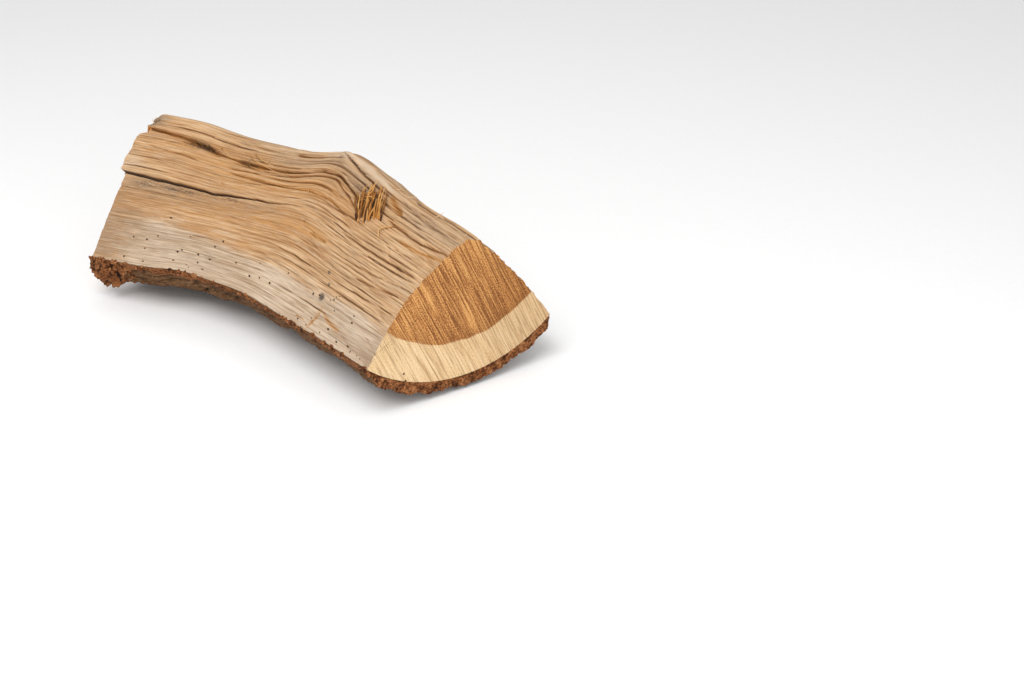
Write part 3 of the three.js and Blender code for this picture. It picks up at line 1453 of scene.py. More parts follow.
class Value:
    """A shader socket that can be used in a Python expression."""

    def __init__(self, shader: "Shader", socket: bpy.types.NodeSocket) -> None:
        """Wraps a socket of a shader."""
        self.shader = shader
        self.socket = socket

    def math(self, operation: str, left: Any, right: Any = 0.0) -> "Value":
        """A Math node on two values."""
        return self.shader.node("ShaderNodeMath", {"operation": operation}, {0: left, 1: right}).value()

    def __add__(self, other: Any) -> "Value":
        """self + other."""
        return self.math("ADD", self, other)

    __radd__ = __add__

    def __mul__(self, other: Any) -> "Value":
        """self * other."""
        return self.math("MULTIPLY", self, other)

    __rmul__ = __mul__

    def __sub__(self, other: Any) -> "Value":
        """self - other."""
        return self.math("SUBTRACT", self, other)

    def __rsub__(self, other: Any) -> "Value":
        """other - self."""
        return self.math("SUBTRACT", other, self)

    def least(self, other: Any) -> "Value":
        """The smaller of two values."""
        return self.math("MINIMUM", self, other)

    def most(self, other: Any) -> "Value":
        """The larger of two values."""
        return self.math("MAXIMUM", self, other)

    def between(self, low: float, high: float) -> "Value":
        """A smooth step.

        Args:
            low: Where the rise starts. It may be above high, and the rise is then a fall.
            high: Where it ends.

        Returns:
            0 on low's side, 1 on high's, and a smooth change between them.
        """
        settings = {"interpolation_type": "SMOOTHSTEP"}
        sockets = {"Value": self, "From Min": low, "From Max": high}
        return self.shader.node("ShaderNodeMapRange", settings, sockets).value("Result")


class NodeHandle:
    """A made node, which gives its outputs as values."""

    def __init__(self, shader: "Shader", node: bpy.types.Node) -> None:
        """Wraps a node of a shader."""
        self.shader = shader
        self.node = node

    def value(self, output: Any = 0) -> Value:
        """One of the node's outputs."""
        return Value(self.shader, self.node.outputs[output])


class Shader:
    """A material whose nodes are written as Python expressions."""

    def __init__(self, name: str, preview: Colour) -> None:
        """Starts an empty node material.

        Args:
            name: The material's name.
            preview: Its plain colour outside of renders.
        """
        self.material = bpy.data.materials.new(name)
        self.material.use_nodes = True
        self.material.diffuse_color = (*preview, 1.0)
        self.tree = self.material.node_tree
        self.tree.nodes.clear()

    def node(self, kind: str, settings: dict[str, Any], sockets: dict[Any, Any]) -> NodeHandle:
        """Makes any node.

        Args:
            kind: The node's type.
            settings: Its properties, which are set first. stops fills a colour ramp.
            sockets: Its inputs by name or number, each a number, a colour, a vector or a value to link.

        Returns:
            The node.
        """
        made = self.tree.nodes.new(kind)
        for name, setting in settings.items():
            if name == "stops":
                self.fill_ramp(made.color_ramp, setting)
            else:
                setattr(made, name, setting)
        for name, given in sockets.items():
            if isinstance(given, Value):
                self.tree.links.new(given.socket, made.inputs[name])
            else:
                made.inputs[name].default_value = given
        return NodeHandle(self, made)

    @staticmethod
    def fill_ramp(ramp: bpy.types.ColorRamp, stops: Sequence[tuple[float, Colour]]) -> None:
        """Fills a colour ramp.

        Args:
            ramp: The ramp, which starts with two stops.
            stops: The wanted (place, colour) stops, in order.
        """
        while len(ramp.elements) < len(stops):
            ramp.elements.new(1.0)
        for element, (place, colour) in zip(ramp.elements, stops):
            element.position = place
            element.color = (*colour, 1.0)

    def mark(self, name: str) -> Value:
        """One of the sheet's marks."""
        return self.node("ShaderNodeAttribute", {"attribute_name": name}, {}).value("Fac")

    def grain(self, along: float, across: float, shift: float = 0.0) -> Value:
        """Grain coordinates with cells of a given length and width in millimetres."""
        read = self.node("ShaderNodeAttribute", {"attribute_name": "grain"}, {}).value("Vector")
        return self.scaled(read, (1 / (along * MM), 1 / (across * MM), 1.0), shift)

    def place(self) -> Value:
        """The place on the piece in metres, from its Object coordinates."""
        return self.node("ShaderNodeTexCoord", {}, {}).value("Object")

    def scaled(self, vector: Value, scale: tuple[float, float, float], shift: float = 0.0) -> Value:
        """A vector scaled, and then shifted by as much in all its directions."""
        sockets = {"Vector": vector, "Location": (shift, shift, shift), "Scale": scale}
        return self.node("ShaderNodeMapping", {}, sockets).value()

    def place_noise(self, cells: float, detail: float, roughness: float) -> Value:
        """Noise on the place on the piece, with a number of cells to a metre."""
        return self.noise(self.scaled(self.place(), (cells, cells, cells)), detail, roughness)

    def noise(self, vector: Value, detail: float = 2.0, roughness: float = 0.5) -> Value:
        """Noise from 0 to 1, one cell to a unit."""
        sockets = {"Vector": vector, "Scale": 1.0, "Detail": detail, "Roughness": roughness}
        return self.node("ShaderNodeTexNoise", {}, sockets).value("Fac")

    def hairlines(self, vector: Value, thinness: float) -> Value:
        """Thin wandering lines, 1 on a line and 0 off it, from where noise crosses its middle."""
        off = self.noise(vector, 3, 0.7) - 0.5
        return (1.0 - off.math("ABSOLUTE", off) * thinness).most(0.0)

    def offset(self, vector: Value, middle: tuple[float, float, float]) -> Value:
        """A vector measured from a middle."""
        return self.node("ShaderNodeVectorMath", {"operation": "SUBTRACT"}, {0: vector, 1: middle}).value()

    def length(self, vector: Value) -> Value:
        """The length of a vector."""
        return self.node("ShaderNodeVectorMath", {"operation": "LENGTH"}, {0: vector}).value("Value")

    def ramp(self, factor: Value, stops: Sequence[tuple[float, Colour]]) -> Value:
        """A colour from a ramp."""
        return self.node("ShaderNodeValToRGB", {"stops": stops}, {0: factor}).value("Color")

    def mix(self, factor: Any, first: Any, second: Any, blend: str = "MIX") -> Value:
        """Mixes two colours.

        Args:
            factor: How much of the second colour there is.
            first: A colour or a value.
            second: A colour or a value.
            blend: How they mix.

        Returns:
            The mixed colour.
        """
        settings = {"data_type": "RGBA", "blend_type": blend, "clamp_factor": True}
        sockets = {0: factor, 6: self.full(first), 7: self.full(second)}
        return self.node("ShaderNodeMix", settings, sockets).value(2)

    @staticmethod
    def full(colour: Any) -> Any:
        """A colour with its alpha, or a value as it is."""
        return colour if isinstance(colour, Value) else (*colour, 1.0)

    def bump(self, height: Value, distance_mm: float, strength: float) -> Value:
        """A bumped normal."""
        sockets = {"Height": height, "Distance": distance_mm * MM, "Strength": strength}
        return self.node("ShaderNodeBump", {}, sockets).value("Normal")

    def surface(
        self, colour: Value, roughness: Any, normal: Value, specular: float = 0.25
    ) -> bpy.types.Material:
        """Ends the material with a principled surface.

        Args:
            colour: Its base colour.
            roughness: Its roughness.
            normal: Its bumped normal.
            specular: How strongly it mirrors.

        Returns:
            The material.
        """
        sockets = {
            "Base Color": colour,
            "Roughness": roughness,
            "Normal": normal,
            "Specular IOR Level": specular,
        }
        shaded = self.node("ShaderNodeBsdfPrincipled", {}, sockets).value("BSDF")
        self.node("ShaderNodeOutputMaterial", {}, {"Surface": shaded})
        return self.material


# --------------------------------------------------------------------------- finishes


@dataclass(frozen=True)
class SplitWoodFinish:
    """Torn wood along the grain: tan heartwood, pale sapwood, orange where freshly torn and dark beetle
    holes, with painted shade in its furrows and deepest hollows and a painted highlight on its ridges.
    """

    heart: Colour = (0.50, 0.287, 0.137)
    heart_light: Colour = (0.70, 0.46, 0.255)
    heart_dark: Colour = (0.27, 0.125, 0.045)
    sap: Colour = (0.51, 0.37, 0.25)
    sap_light: Colour = (0.67, 0.53, 0.39)
    sap_dark: Colour = (0.34, 0.225, 0.135)
    # Painted shade for the furrows, mixed in by how hollow the wood is.
    furrow: Colour = (0.13, 0.055, 0.018)
    raw: Colour = (0.46, 0.20, 0.045)
    warm: Colour = (0.50, 0.235, 0.07)
    grey: Colour = (0.30, 0.21, 0.14)
    # Near-black painted shade for cracks, torn holes, grooves and the tuft's underside.
    soot: Colour = (0.05, 0.04, 0.032)
    # Beetle holes, and painted shade in the deepest hollows.
    pit: Colour = (0.018, 0.012, 0.008)
    knot: Colour = (0.10, 0.08, 0.065)

    def material(self) -> bpy.types.Material:
        """Makes the finish.

        Returns:
            The material.
        """
        shader = Shader("split_wood", self.heart)
        streak = shader.noise(shader.grain(75, 1.3), 3, 0.7)
        hair = shader.noise(shader.grain(32, 0.75, 3.0), 2, 0.6)
        cloud = shader.noise(shader.grain(60, 18, 7.0), 3, 0.55)
        # The relief's height nudges the tone: a faint painted highlight on raised wood and painted shade in
        # low wood.
        tone = streak * 0.44 + hair * 0.48 + cloud * 0.26 + shader.mark("height") * 0.02
        heart = shader.ramp(tone, ((0.47, self.heart_dark), (0.575, self.heart), (0.66, self.heart_light)))
        sap = shader.ramp(tone, ((0.445, self.sap_dark), (0.565, self.sap), (0.66, self.sap_light)))
        edge = (shader.mark("sap") + (streak - 0.5) * 1.5 + (cloud - 0.5) * 1.2).between(0.1, 0.9)
        wood = shader.mix(edge, heart, sap)
        wood = shader.mix((shader.mark("warm") * (cloud + 0.6)).least(1.0) * 0.7, wood, self.warm)
        wood = shader.mix((shader.mark("grey") * (streak + 0.5)).least(1.0) * 0.6, wood, self.grey)
        # Pale patches; along the crest they are a painted highlight.
        wood = shader.mix((shader.mark("pale") * (streak + 0.5)).least(1.0) * 0.7, wood, self.sap_light)
        vessels = shader.hairlines(shader.grain(120, 3.0, 5.0), 32.0)
        wood = shader.mix(vessels * hair * 0.9, wood, self.heart_dark)
        glints = shader.hairlines(shader.grain(80, 2.6, 11.0), 30.0)
        wood = shader.mix(glints * hair * 0.7, wood, self.sap_light)
        # Painted shade and highlight from how hollow the wood is: grooves darken towards the furrow colour,
        # the deepest towards near black, and ridges lighten towards the light heartwood.
        hollow = shader.mark("hollow") + (hair - 0.5) * 0.12
        wood = shader.mix(hollow.between(0.04, 0.55) * 0.85, wood, self.furrow)
        wood = shader.mix(hollow.between(0.6, 1.5) * 0.8, wood, self.pit)
        wood = shader.mix(hollow.between(-0.03, -0.35) * 0.4, wood, self.heart_light)
        wood = shader.mix((shader.mark("raw") * (hair + 0.5)).least(1.0) * 0.8, wood, self.raw)
        speck = shader.noise(shader.grain(2.2, 1.0, 9.0), 3, 0.7)
        # Near-black painted shade, broken up by specks, in cracks, torn holes and under the tuft.
        painted_shade_amount = (shader.mark("soot") * (speck - 0.38) * 5.0).least(0.85).most(0.0)
        wood = shader.mix(painted_shade_amount, wood, self.soot)
        wood = shader.mix((shader.mark("knot") * (speck + 0.5)).least(1.0), wood, self.knot)
        wood = shader.mix(shader.mark("pit").between(0.15, 0.6), wood, self.pit)
        normal = shader.bump(streak + hair * 1.2, 1.0, 1.0)
        return shader.surface(wood, 0.78 + 0.1 * hair, normal)


@dataclass(frozen=True)
class SawnEndFinish:
    """A sawn end: orange-brown heartwood inside pale sapwood, scored by the saw.

    Attributes:
        name: The material's name.
        pith: Where the growth rings are centred on the cut.
        turn: How far the cut is turned in plan.
        heart_radius: The radius of the heartwood.
        saw_lean: How far the saw lines lean from upright.
        holes: Beetle holes, as millimetres across and up from the pith.
    """

    name: str
    pith: Vector
    turn: float
    heart_radius: float
    saw_lean: float
    holes: tuple[tuple[float, float], ...]
    heart: Colour = (0.50, 0.215, 0.06)
    heart_light: Colour = (0.72, 0.38, 0.13)
    heart_dark: Colour = (0.20, 0.07, 0.018)
    sap: Colour = (0.68, 0.455, 0.23)
    sap_light: Colour = (0.82, 0.62, 0.38)
    sap_dark: Colour = (0.46, 0.29, 0.14)
    # Multiplied in as painted shade towards the back of the cut.
    shade: Colour = (0.64, 0.54, 0.44)
    hole: Colour = (0.05, 0.025, 0.012)

    def material(self) -> bpy.types.Material:
        """Makes the finish.

        Returns:
            The material.
        """
        shader = Shader(self.name, self.heart)
        face = self.face_place(shader)
        across = shader.node("ShaderNodeSeparateXYZ", {}, {"Vector": face}).value("X")
        wobble = shader.noise(shader.scaled(face, (40, 40, 1)), 3)
        radius = shader.length(face) + (wobble - 0.5) * 0.005
        turned = {"Vector": face, "Angle": self.saw_lean}
        lean = shader.node("ShaderNodeVectorRotate", {"rotation_type": "Z_AXIS"}, turned).value()
        score = shader.noise(shader.scaled(lean, (1000, 25, 1)), 3, 0.7)
        broad = shader.noise(shader.scaled(lean, (170, 9, 1)), 2, 0.6)
        slash = shader.noise(shader.scaled(lean, (330, 16, 1)), 2, 0.5)
        speck = shader.noise(shader.scaled(face, (1100, 1100, 1)), 2)
        cloud = shader.noise(shader.scaled(face, (32, 32, 1)), 3)
        tone = score * 0.68 + broad * 0.06 + speck * 0.42 + cloud * 0.16
        heart = shader.ramp(tone, ((0.57, self.heart_dark), (0.66, self.heart), (0.74, self.heart_light)))
        sap = shader.ramp(tone, ((0.51, self.sap_dark), (0.61, self.sap), (0.77, self.sap_light)))
        rim = radius.between(self.heart_radius - 9 * MM, self.heart_radius)
        heart = shader.mix(rim * 0.25, heart, self.heart_dark)
        outside = radius.between(self.heart_radius - 0.7 * MM, self.heart_radius + 0.7 * MM)
        wood = shader.mix(outside, heart, sap)
        wood = shader.mix(slash.between(0.64, 0.70) * 0.25, wood, self.heart_dark)
        cuts = shader.hairlines(shader.scaled(lean, (240, 8, 1)), 26.0)
        wood = shader.mix(cuts * speck * 0.9, wood, self.heart_dark)
        # Painted shade: the cut darkens towards its back side, more on the heartwood than on the sapwood.
        turned_away = across.between(-0.01, 0.05) * (0.25 + cloud) * (1.2 - 0.7 * outside)
        wood = shader.mix(turned_away.least(1.0), wood, self.shade, "MULTIPLY")
        for hole in self.holes:
            middle = (hole[0] * MM, hole[1] * MM, 0.0)
            off = shader.length(shader.offset(face, middle))
            wood = shader.mix(off.between(0.9 * MM, 0.5 * MM), wood, self.hole)
        normal = shader.bump(score + speck * 0.3, 0.4, 0.6)
        return shader.surface(wood, 0.72 + 0.1 * speck, normal)

    def face_place(self, shader: Shader) -> Value:
        """Place on the cut from the pith.

        Args:
            shader: The shader that gets the nodes.

        Returns:
            Metres across in X and up in Y.
        """
        sockets = {"Vector": shader.place(), "Location": self.pith, "Rotation": (0, 0, self.turn)}
        flat = shader.node("ShaderNodeMapping", {"vector_type": "TEXTURE"}, sockets).value()
        split = shader.node("ShaderNodeSeparateXYZ", {}, {"Vector": flat})
        parts = {"X": split.value("Y"), "Y": split.value("Z")}
        return shader.node("ShaderNodeCombineXYZ", {}, parts).value()


@dataclass(frozen=True)
class BarkFinish:
    """Rough bark: grey-brown outside, red-brown where it is torn, and painted shade darkening its pits and
    fissures.
    """

    outer: Colour = (0.135, 0.064, 0.027)
    outer_light: Colour = (0.27, 0.15, 0.075)
    outer_dark: Colour = (0.033, 0.018, 0.010)
    rim: Colour = (0.19, 0.066, 0.021)
    rim_light: Colour = (0.42, 0.18, 0.07)
    rim_dark: Colour = (0.03, 0.011, 0.006)
    # Painted shade for the pits.
    pit: Colour = (0.012, 0.008, 0.006)

    def material(self) -> bpy.types.Material:
        """Makes the finish for the outside and the torn edges.

        Returns:
            The material.
        """
        shader = Shader("bark", self.outer)
        fibre = shader.noise(shader.grain(9, 1.2), 4, 0.7)
        crumb = shader.noise(shader.grain(1.7, 1.5, 4.0), 3, 0.65)
        cloud = shader.noise(shader.grain(30, 18, 8.0), 3, 0.5)
        tone = fibre * 0.5 + crumb * 0.4 + cloud * 0.2
        outer = shader.ramp(tone, ((0.43, self.outer_dark), (0.55, self.outer), (0.68, self.outer_light)))
        rim = shader.ramp(tone, ((0.43, self.rim_dark), (0.54, self.rim), (0.68, self.rim_light)))
        bark = shader.mix((shader.mark("rim") + (cloud - 0.5) * 2.2).between(0.35, 0.95), outer, rim)
        # Painted shade: the bark darkens in its pits and along its fissures.
        bark = shader.mix(shader.mark("hollow").between(0.06, 0.55) * 0.92, bark, self.pit)
        bark = shader.mix(shader.mark("fissure") * 0.6, bark, self.outer_dark)
        normal = shader.bump(crumb + fibre, 0.9, 0.8)
        return shader.surface(bark, 0.9, normal, 0.15)

    def end_material(self, name: str) -> bpy.types.Material:
        """Makes the finish for the sawn ends of the bark and for the loose crumbs.

        Args:
            name: The material's name.

        Returns:
            The material.
        """
        shader = Shader(name, self.rim)
        crumb = shader.place_noise(620, 3, 0.65)
        layer = shader.place_noise(150, 3, 0.6)
        tone = crumb * 0.6 + layer * 0.5
        bark = shader.ramp(tone, ((0.44, self.rim_dark), (0.55, self.rim), (0.66, self.rim_light)))
        bark = shader.mix(layer.between(0.6, 0.68) * 0.7, bark, self.outer_dark)
        return shader.surface(bark, 0.9, shader.bump(crumb, 0.8, 0.8), 0.15)


@dataclass(frozen=True)
class FibreFinish:
    """Loose torn fibre.

    Attributes:
        name: The material's name.
        dark: Its darkest colour.
        middle: Its main colour.
        light: Its lightest colour.
    """

    name: str
    dark: Colour
    middle: Colour
    light: Colour

    def material(self) -> bpy.types.Material:
        """Makes the finish.

        Returns:
            The material.
        """
        shader = Shader(self.name, self.middle)
        blotch = shader.place_noise(160, 3, 0.6)
        tone = shader.mark("tone") + (blotch - 0.5) * 0.7
        colour = shader.ramp(tone, ((0.1, self.dark), (0.48, self.middle), (0.85, self.light)))
        return shader.surface(colour, 0.75, shader.bump(blotch, 0.2, 0.5))


# --------------------------------------------------------------------------- the studio


@dataclass(frozen=True)
class Panel:
    """A square area light that faces the log.

    Attributes:
        name: Its name.
        place: Where it is.
        power: How bright it is, in watts.
        size: How wide it is.
        target: What it faces.
    """

    name: str
    place: tuple[float, float, float]
    power: float
    size: float = 0.9
    target: tuple[float, float, float] = (0.0, 0.0, 0.05)

    def build(self) -> None:
        """Makes the light."""
        light = bpy.data.lights.new(self.name, "AREA")
        light.shape = "SQUARE"
        light.size = self.size
        light.energy = self.power
        made = bpy.data.objects.new(self.name, light)
        made.location = self.place
        made.rotation_euler = (Vector(self.target) - Vector(self.place)).to_track_quat("-Z", "Y").to_euler()
        bpy.context.scene.collection.objects.link(made)


@dataclass(frozen=True)
class Studio:
    """A pale floor, soft lights and the camera.

    Attributes:
        azimuth: Where the camera stands round the log, from -Y towards +X, in degrees.
        pitch: How far it looks down, in degrees.
        lens_mm: Its lens on a 36 mm sensor.
        stand: Where it stands from the square cut's pith.
        floor_half: Half the floor's width.
        floor_dark: The darker colour of the floor's faint grain.
        floor_light: The lighter one.
        panels: The lights: one broad overhead and a softer one in front.
        surround: How bright the pale surround is.
    """

    azimuth: float = 55.234
    pitch: float = 28.266
    lens_mm: float = 60.0
    stand: tuple[float, float, float] = (0.7477, -0.4843, 0.4013)
    floor_half: float = 6.0
    floor_dark: Colour = (0.93, 0.93, 0.93)
    floor_light: Colour = (0.97, 0.97, 0.97)
    panels: tuple[Panel, ...] = (
        Panel("overhead", (0.5, -0.6, 1.2), 14.0),
        Panel("front_fill", (1.4, -0.4, 0.7), 5.0),
    )
    surround: float = 0.6

    def build(self, pith: Vector) -> None:
        """Makes the floor, the lights and the camera.

        Args:
            pith: The middle of the growth rings on the square cut.
        """
        self.floor()
        self.lights()
        lens = bpy.data.cameras.new("camera")
        lens.lens = self.lens_mm
        lens.sensor_width = 36.0
        lens.clip_start = 0.01
        camera = bpy.data.objects.new("camera", lens)
        camera.location = pith + Vector(self.stand)
        camera.rotation_euler = (math.radians(90 - self.pitch), 0.0, math.radians(self.azimuth))
        bpy.context.scene.collection.objects.link(camera)
        bpy.context.scene.camera = camera

    def floor(self) -> None:
        """A wide pale floor under the log."""
        shape = bmesh.new()
        bmesh.ops.create_grid(shape, x_segments=1, y_segments=1, size=self.floor_half)
        floor = finished_object(shape, "floor")
        shader = Shader("pale_floor", self.floor_dark)
        grain = shader.noise(shader.scaled(shader.place(), (300, 300, 1)))
        colour = shader.mix(grain, self.floor_dark, self.floor_light)
        floor.data.materials.append(shader.surface(colour, 0.6, shader.bump(grain, 0.05, 0.1)))

    def lights(self) -> None:
        """Makes the lights and the pale surround."""
        for panel in self.panels:
            panel.build()
        world = bpy.data.worlds.new("surround")
        world.use_nodes = True
        background = world.node_tree.nodes["Background"]
        background.inputs["Color"].default_value = (1.0, 1.0, 1.0, 1.0)
        background.inputs["Strength"].default_value = self.surround
        bpy.context.scene.world = world
        bpy.context.scene.view_settings.view_transform = "Standard"


# --------------------------------------------------------------------------- the log

BROAD_FACE = SplitFaceRelief(
    seed=11,
    furrows=(
        Furrow(
            ((1.0, 0.425), (0.86, 0.43), (0.74, 0.435), (0.61, 0.41), (0.50, 0.41)),
            3.8, 0.6, 0.5, 5.0,
        ),
        Furrow(
            (
                (1.0, 0.10), (0.88, 0.12), (0.76, 0.165), (0.66, 0.18),
                (0.57, 0.165), (0.44, 0.15), (0.34, 0.18),
            ),
            3.0, 0.9, 1.0, 8.0, 0.6,
        ),
        Furrow(
            ((0.80, 0.175), (0.66, 0.205), (0.55, 0.19), (0.44, 0.175), (0.33, 0.21)),
            2.0, 0.7, 0.9, 4.0, 0.5,
        ),
        Furrow(((0.70, 0.14), (0.60, 0.145), (0.50, 0.14), (0.40, 0.12)), 1.6, 0.7, 0.7, 4.0, 0.3),
        Furrow(((0.78, 0.235), (0.63, 0.24), (0.50, 0.24), (0.38, 0.25)), 1.2, 0.6, 0.7, 4.0, 0.5),
        Furrow(
            ((0.76, 0.27), (0.63, 0.27), (0.50, 0.29), (0.38, 0.30), (0.30, 0.32)),
            1.0, 0.7, 1.2, 9.0, 0.6,
        ),
        Furrow(((0.90, 0.135), (0.83, 0.14), (0.76, 0.17)), 4.0, 1.8, 0.5, 4.0, 1.0),
        Furrow(((0.73, 0.175), (0.69, 0.18), (0.62, 0.18)), 2.6, 1.6, 0.5, 4.0, 1.0),
        Furrow(((0.96, 0.05), (0.80, 0.06), (0.66, 0.07)), 1.2, 0.8, 0.7, 4.0),
        Furrow(((0.98, 0.22), (0.90, 0.24), (0.80, 0.25)), 0.9, 0.7, 0.5, 4.0, 0.3),
        Furrow(((0.59, 0.035), (0.55, 0.04), (0.51, 0.035)), 3.0, 1.2, 0.6, 3.0, 0.3),
        Furrow(((0.26, 0.16), (0.20, 0.18), (0.09, 0.19), (0.0, 0.15)), 2.4, 1.3, 1.4, 10.0, 0.3),
        Furrow(((0.17, 0.25), (0.08, 0.24), (0.0, 0.21)), 1.0, 0.7, 0.2, 3.0, 1.0),
        Furrow(((0.24, 0.57), (0.19, 0.58), (0.09, 0.56), (0.0, 0.52)), 1.2, 0.9, 0.4, 4.0, 0.2),
        Furrow(((0.28, 0.66), (0.18, 0.66), (0.0, 0.64)), 1.0, 0.8, 0.6, 5.0),
        Furrow(((0.24, 0.71), (0.12, 0.71), (0.0, 0.71)), 1.1, 0.9, 0.7, 6.0),
        Furrow(((0.36, 0.53), (0.26, 0.52), (0.12, 0.50), (0.0, 0.47)), 0.9, 0.8, 0.5, 4.0),
        Furrow(((0.24, 0.44), (0.14, 0.43), (0.0, 0.41)), 1.3, 0.8, 0.8, 3.0),
        Furrow(((0.22, 0.40), (0.14, 0.395), (0.0, 0.38)), 1.2, 0.8, 0.6, 3.0),
        Furrow(((0.42, 0.51), (0.38, 0.515), (0.33, 0.51)), 1.2, 0.9, 0.4, 3.0, 0.6),
        Furrow(((0.285, 0.045), (0.25, 0.075), (0.20, 0.105)), 3.0, 1.7, 0.6, 3.0, 0.8),
        Furrow(
            ((0.50, 0.012), (0.47, 0.02), (0.414, 0.05), (0.352, 0.058), (0.26, 0.055)),
            3.2, 1.5, 2.0, 2.2, 0.1,
        ),
        Furrow(
            ((0.68, 0.20), (0.56, 0.17), (0.50, 0.152), (0.45, 0.147), (0.378, 0.176), (0.25, 0.25)),
            3.4, 1.0, 1.6, 6.0, 0.3,
        ),
        Furrow(
            ((0.66, 0.23), (0.50, 0.185), (0.45, 0.178), (0.39, 0.205), (0.28, 0.27)),
            1.8, 0.8, 0.8, 3.0, 0.2,
        ),
        Furrow(((0.222, 0.82), (0.232, 0.90), (0.25, 0.99)), 0.5, 1.5, 0.0, 6.0, 1.0),
        Furrow(((0.13, 0.905), (0.18, 0.89), (0.226, 0.85)), 0.4, 0.8, 0.0, 6.0, 0.8),
        Furrow(((0.22, 0.045), (0.12, 0.04), (0.0, 0.04)), 0.9, 1.2, 0.5, 2.0),
    ),
    dimples=(
        Dimple(0.25, 0.785, 2.4, 0.6),
        Dimple(0.27, 0.64, 1.1, 0.3),
        Dimple(0.25, 0.70, 1.0, 0.3),
        Dimple(0.45, 0.02, 8.0, -2.2, 0.0),
        Dimple(0.475, 0.0, 4.5, -2.4, 0.0),
        Dimple(0.30, 0.16, 9.0, 1.8, 0.0),
    ),
    patches=(
        # Near-black painted shade: in the crack under the slab, in the two torn holes, in the groove at the
        # far crest and under the tuft.
        *tint_patches(
            Tint.SOOT,
            (0.93, 0.465, 9, 3.0, 0.5),
            (0.84, 0.465, 16, 2.2, 0.6),
            (0.70, 0.45, 14, 1.6, 0.5),
            (0.90, 0.55, 6, 2.5, 0.25),
            (0.66, 0.86, 5, 2.0, 0.25),
            (0.298, 0.18, 7, 8.0, 1.6),
            (0.99, 0.04, 5, 4.0, 0.8),
            (0.84, 0.14, 9, 2.5, 1.7),
            (0.69, 0.175, 7, 2.0, 1.2),
            (0.35, 0.14, 12, 6.0, 0.5),
        ),
        *tint_patches(
            Tint.GREY,
            (0.42, 0.09, 26, 8.0, 0.9),
            (0.36, 0.12, 16, 6.0, 0.7),
            (0.985, 0.03, 9, 7.0, 1.4),
            (0.12, 0.88, 40, 12, 0.35),
            # Painted shade where the light falls off towards the far end.
            (0.86, 0.85, 45, 14, 0.45),
            (0.52, 0.13, 26, 7, 0.8),
            (0.985, 0.80, 18, 26.0, 0.9),
            # Painted shade under the slab's crack.
            (0.84, 0.52, 42, 7.0, 0.6),
            (0.56, 0.19, 44, 8.0, 0.5),
            (0.14, 0.93, 9, 3.0, 0.7),
            (0.01, 0.92, 4, 8.0, 1.2),
            # Painted shade under the end of the slab's crack.
            (0.60, 0.44, 34, 8.0, 0.6),
            (0.93, 0.72, 30, 8.0, 0.5),
            (0.42, 0.10, 30, 7.0, 0.45),
            (0.10, 0.07, 34, 7.0, 0.9),
            (0.50, 0.05, 70, 4.0, 0.6),
            (0.97, 0.88, 9, 6.0, 1.0),
            (0.88, 0.47, 40, 5.0, 0.5),
            (0.04, 0.48, 16, 5.0, 0.5),
            (0.03, 0.93, 7, 4.0, 0.9),
            (0.20, 0.60, 30, 4.0, 0.4),
            (0.68, 0.90, 18, 2.0, 0.6),
        ),
        *tint_patches(
            Tint.WARM,
            (0.62, 0.20, 85, 16.0, 0.9),
            (0.75, 0.50, 60, 12.0, 0.5),
            (0.96, 0.05, 16, 6.0, 0.8),
            (0.985, 0.84, 20, 26.0, 1.3),
            (0.50, 0.20, 44, 7.0, 0.9),
            (0.50, 0.24, 40, 6.0, 0.6),
            (0.46, 0.17, 26, 8.0, 1.0),
            # Painted shade under the end of the slab's crack.
            (0.60, 0.45, 34, 9.0, 1.0),
            (0.88, 0.55, 40, 10.0, 0.6),
            (0.85, 0.15, 26, 4.0, 0.7),
            (0.33, 0.31, 12, 5.0, 0.9),
            (0.74, 0.69, 12, 2.5, 1.1),
            (0.62, 0.73, 26, 3.0, 0.8),
            (0.40, 0.50, 22, 3.0, 0.8),
            (0.94, 0.30, 4, 8.0, 0.7),
            (0.60, 0.55, 60, 9.0, 0.55),
        ),
        *tint_patches(
            Tint.RAW,
            (0.30, 0.17, 9, 9.0, 1.0),
        ),
        # Paler wood; the three patches along the crest are a painted highlight on its lit facet.
        *tint_patches(
            Tint.PALE,
            (0.42, 0.015, 22, 2.6, 1.3),
            (0.33, 0.02, 20, 2.4, 1.1),
            (0.60, 0.01, 26, 1.6, 0.6),
            (0.98, 0.36, 10, 5.0, 0.6),
        ),
    ),
    rough_until=0.36,
    fine_cracks=150,
    beetle_holes=44,
    sapwood_from=(
        (0.0, 0.74), (0.11, 0.73), (0.26, 0.76), (0.42, 0.80),
        (0.52, 0.79), (0.66, 0.72), (0.8, 0.68), (1.0, 0.74),
    ),
)

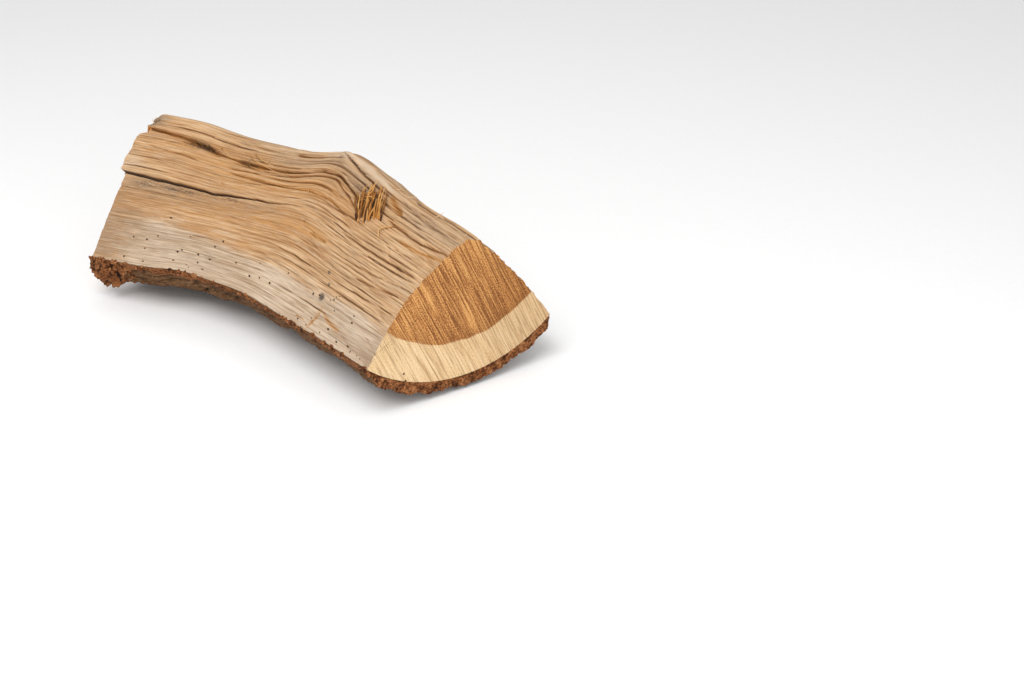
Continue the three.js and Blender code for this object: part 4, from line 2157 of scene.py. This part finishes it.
NARROW_FACE = SplitFaceRelief(
    seed=47,
    furrows=(
        Furrow(((0.15, 0.56), (0.4, 0.56), (0.7, 0.57), (1.0, 0.56)), 2.4, 1.0, 0.4, 5.0),
        Furrow(((0.0, 0.30), (0.2, 0.31), (0.45, 0.33)), 1.5, 1.0, 0.9, 6.0, 0.4),
        Furrow(((0.55, 0.22), (0.75, 0.24), (1.0, 0.22)), 1.8, 1.2, 1.0, 7.0, 0.5),
        Furrow(((0.3, 0.78), (0.5, 0.77), (0.72, 0.79)), 1.0, 0.8, 0.6, 5.0),
    ),
    dimples=(Dimple(0.62, 0.42, 3.0, 0.8), Dimple(0.2, 0.7, 1.4, 0.4)),
    patches=(
        *tint_patches(
            Tint.GREY,
            (0.5, 0.10, 70, 6, 0.5),
            (0.1, 0.92, 16, 5, 0.8),
        ),
        *tint_patches(
            Tint.WARM,
            (0.8, 0.3, 40, 7, 0.8),
            (0.3, 0.36, 40, 6, 0.7),
        ),
        # Near-black painted shade in the deep furrow.
        *tint_patches(
            Tint.SOOT,
            (0.7, 0.58, 20, 2.5, 0.7),
        ),
    ),
    rough_until=0.4,
    fine_cracks=80,
    beetle_holes=24,
    sapwood_from=((0.0, 0.75), (0.3, 0.77), (0.6, 0.73), (1.0, 0.76)),
)


def settle(piece: bpy.types.Object, node: str) -> None:
    """Makes a piece ride the root and stand for a CAD node.

    Args:
        piece: The piece.
        node: The CAD node it stands for.
    """
    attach(piece, "root")
    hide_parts(node)
    LOG.info("%s: %d faces", piece.name, len(piece.data.polygons))


def main() -> None:
    """Builds the log and its studio in order."""
    logging.basicConfig(level=logging.INFO, format="%(message)s")
    points, _ = merged_copy("wood")
    fan = Fan.between_cuts(points, CUT_TURN)
    sections = NodeSections("wood", fan)
    wedge = WoodWedge(sections, BROAD_FACE, NARROW_FACE)
    wood = wedge.build()
    square = WedgeSection.of(sections.at(OFF_THE_CUT))
    pith_reach, pith_height = square.crest + PITH_FROM_CREST
    pith = Vector((fan.square_x, fan.axis_y + pith_reach, pith_height))
    turned = WedgeSection.of(sections.at(1 - OFF_THE_CUT))
    far_pith = Vector(fan.place(1.0, turned.crest[0], turned.crest[1]))
    square_holes, turned_holes = ((-42, -86), (-41, -91), (-33, -95)), ((30, -80), (-20, -84))
    for finish in (
        SplitWoodFinish(),
        SawnEndFinish("sawn_square_end", pith, 0.0, HEART_RADIUS, math.radians(-25), square_holes),
        SawnEndFinish("sawn_turned_end", far_pith, CUT_TURN, HEART_RADIUS, math.radians(32), turned_holes),
    ):
        wood.data.materials.append(finish.material())
    settle(wood, "wood")
    slab = BarkSlab(NodeSections("bark", fan), sections)
    bark = slab.build()
    bark_finish = BarkFinish()
    bark_end = bark_finish.end_material("bark_end")
    for material in (bark_finish.material(), bark_end, bark_end):
        bark.data.materials.append(material)
    settle(bark, "bark")
    BarkCrumbs(slab).build(bark_end)
    fibres = TornFibres(wedge)
    orange = FibreFinish("torn_fibre", (0.05, 0.015, 0.004), (0.39, 0.15, 0.028), (0.64, 0.33, 0.10))
    pale = FibreFinish("pale_fibre", (0.40, 0.26, 0.14), (0.66, 0.47, 0.29), (0.82, 0.66, 0.48))
    FibreBundle("fibre_tuft", fibres.tuft(), orange, Slot.WOOD).build()
    golden = FibreFinish("golden_fibre", (0.30, 0.13, 0.03), (0.60, 0.34, 0.13), (0.80, 0.55, 0.30))
    FibreBundle("loose_curls", fibres.curls(), golden, Slot.WOOD).build()
    FibreBundle("crest_splinters", fibres.crest_splinters(), pale, Slot.WOOD).build()
    Studio().build(pith)


if __name__ == "__main__":
    main()
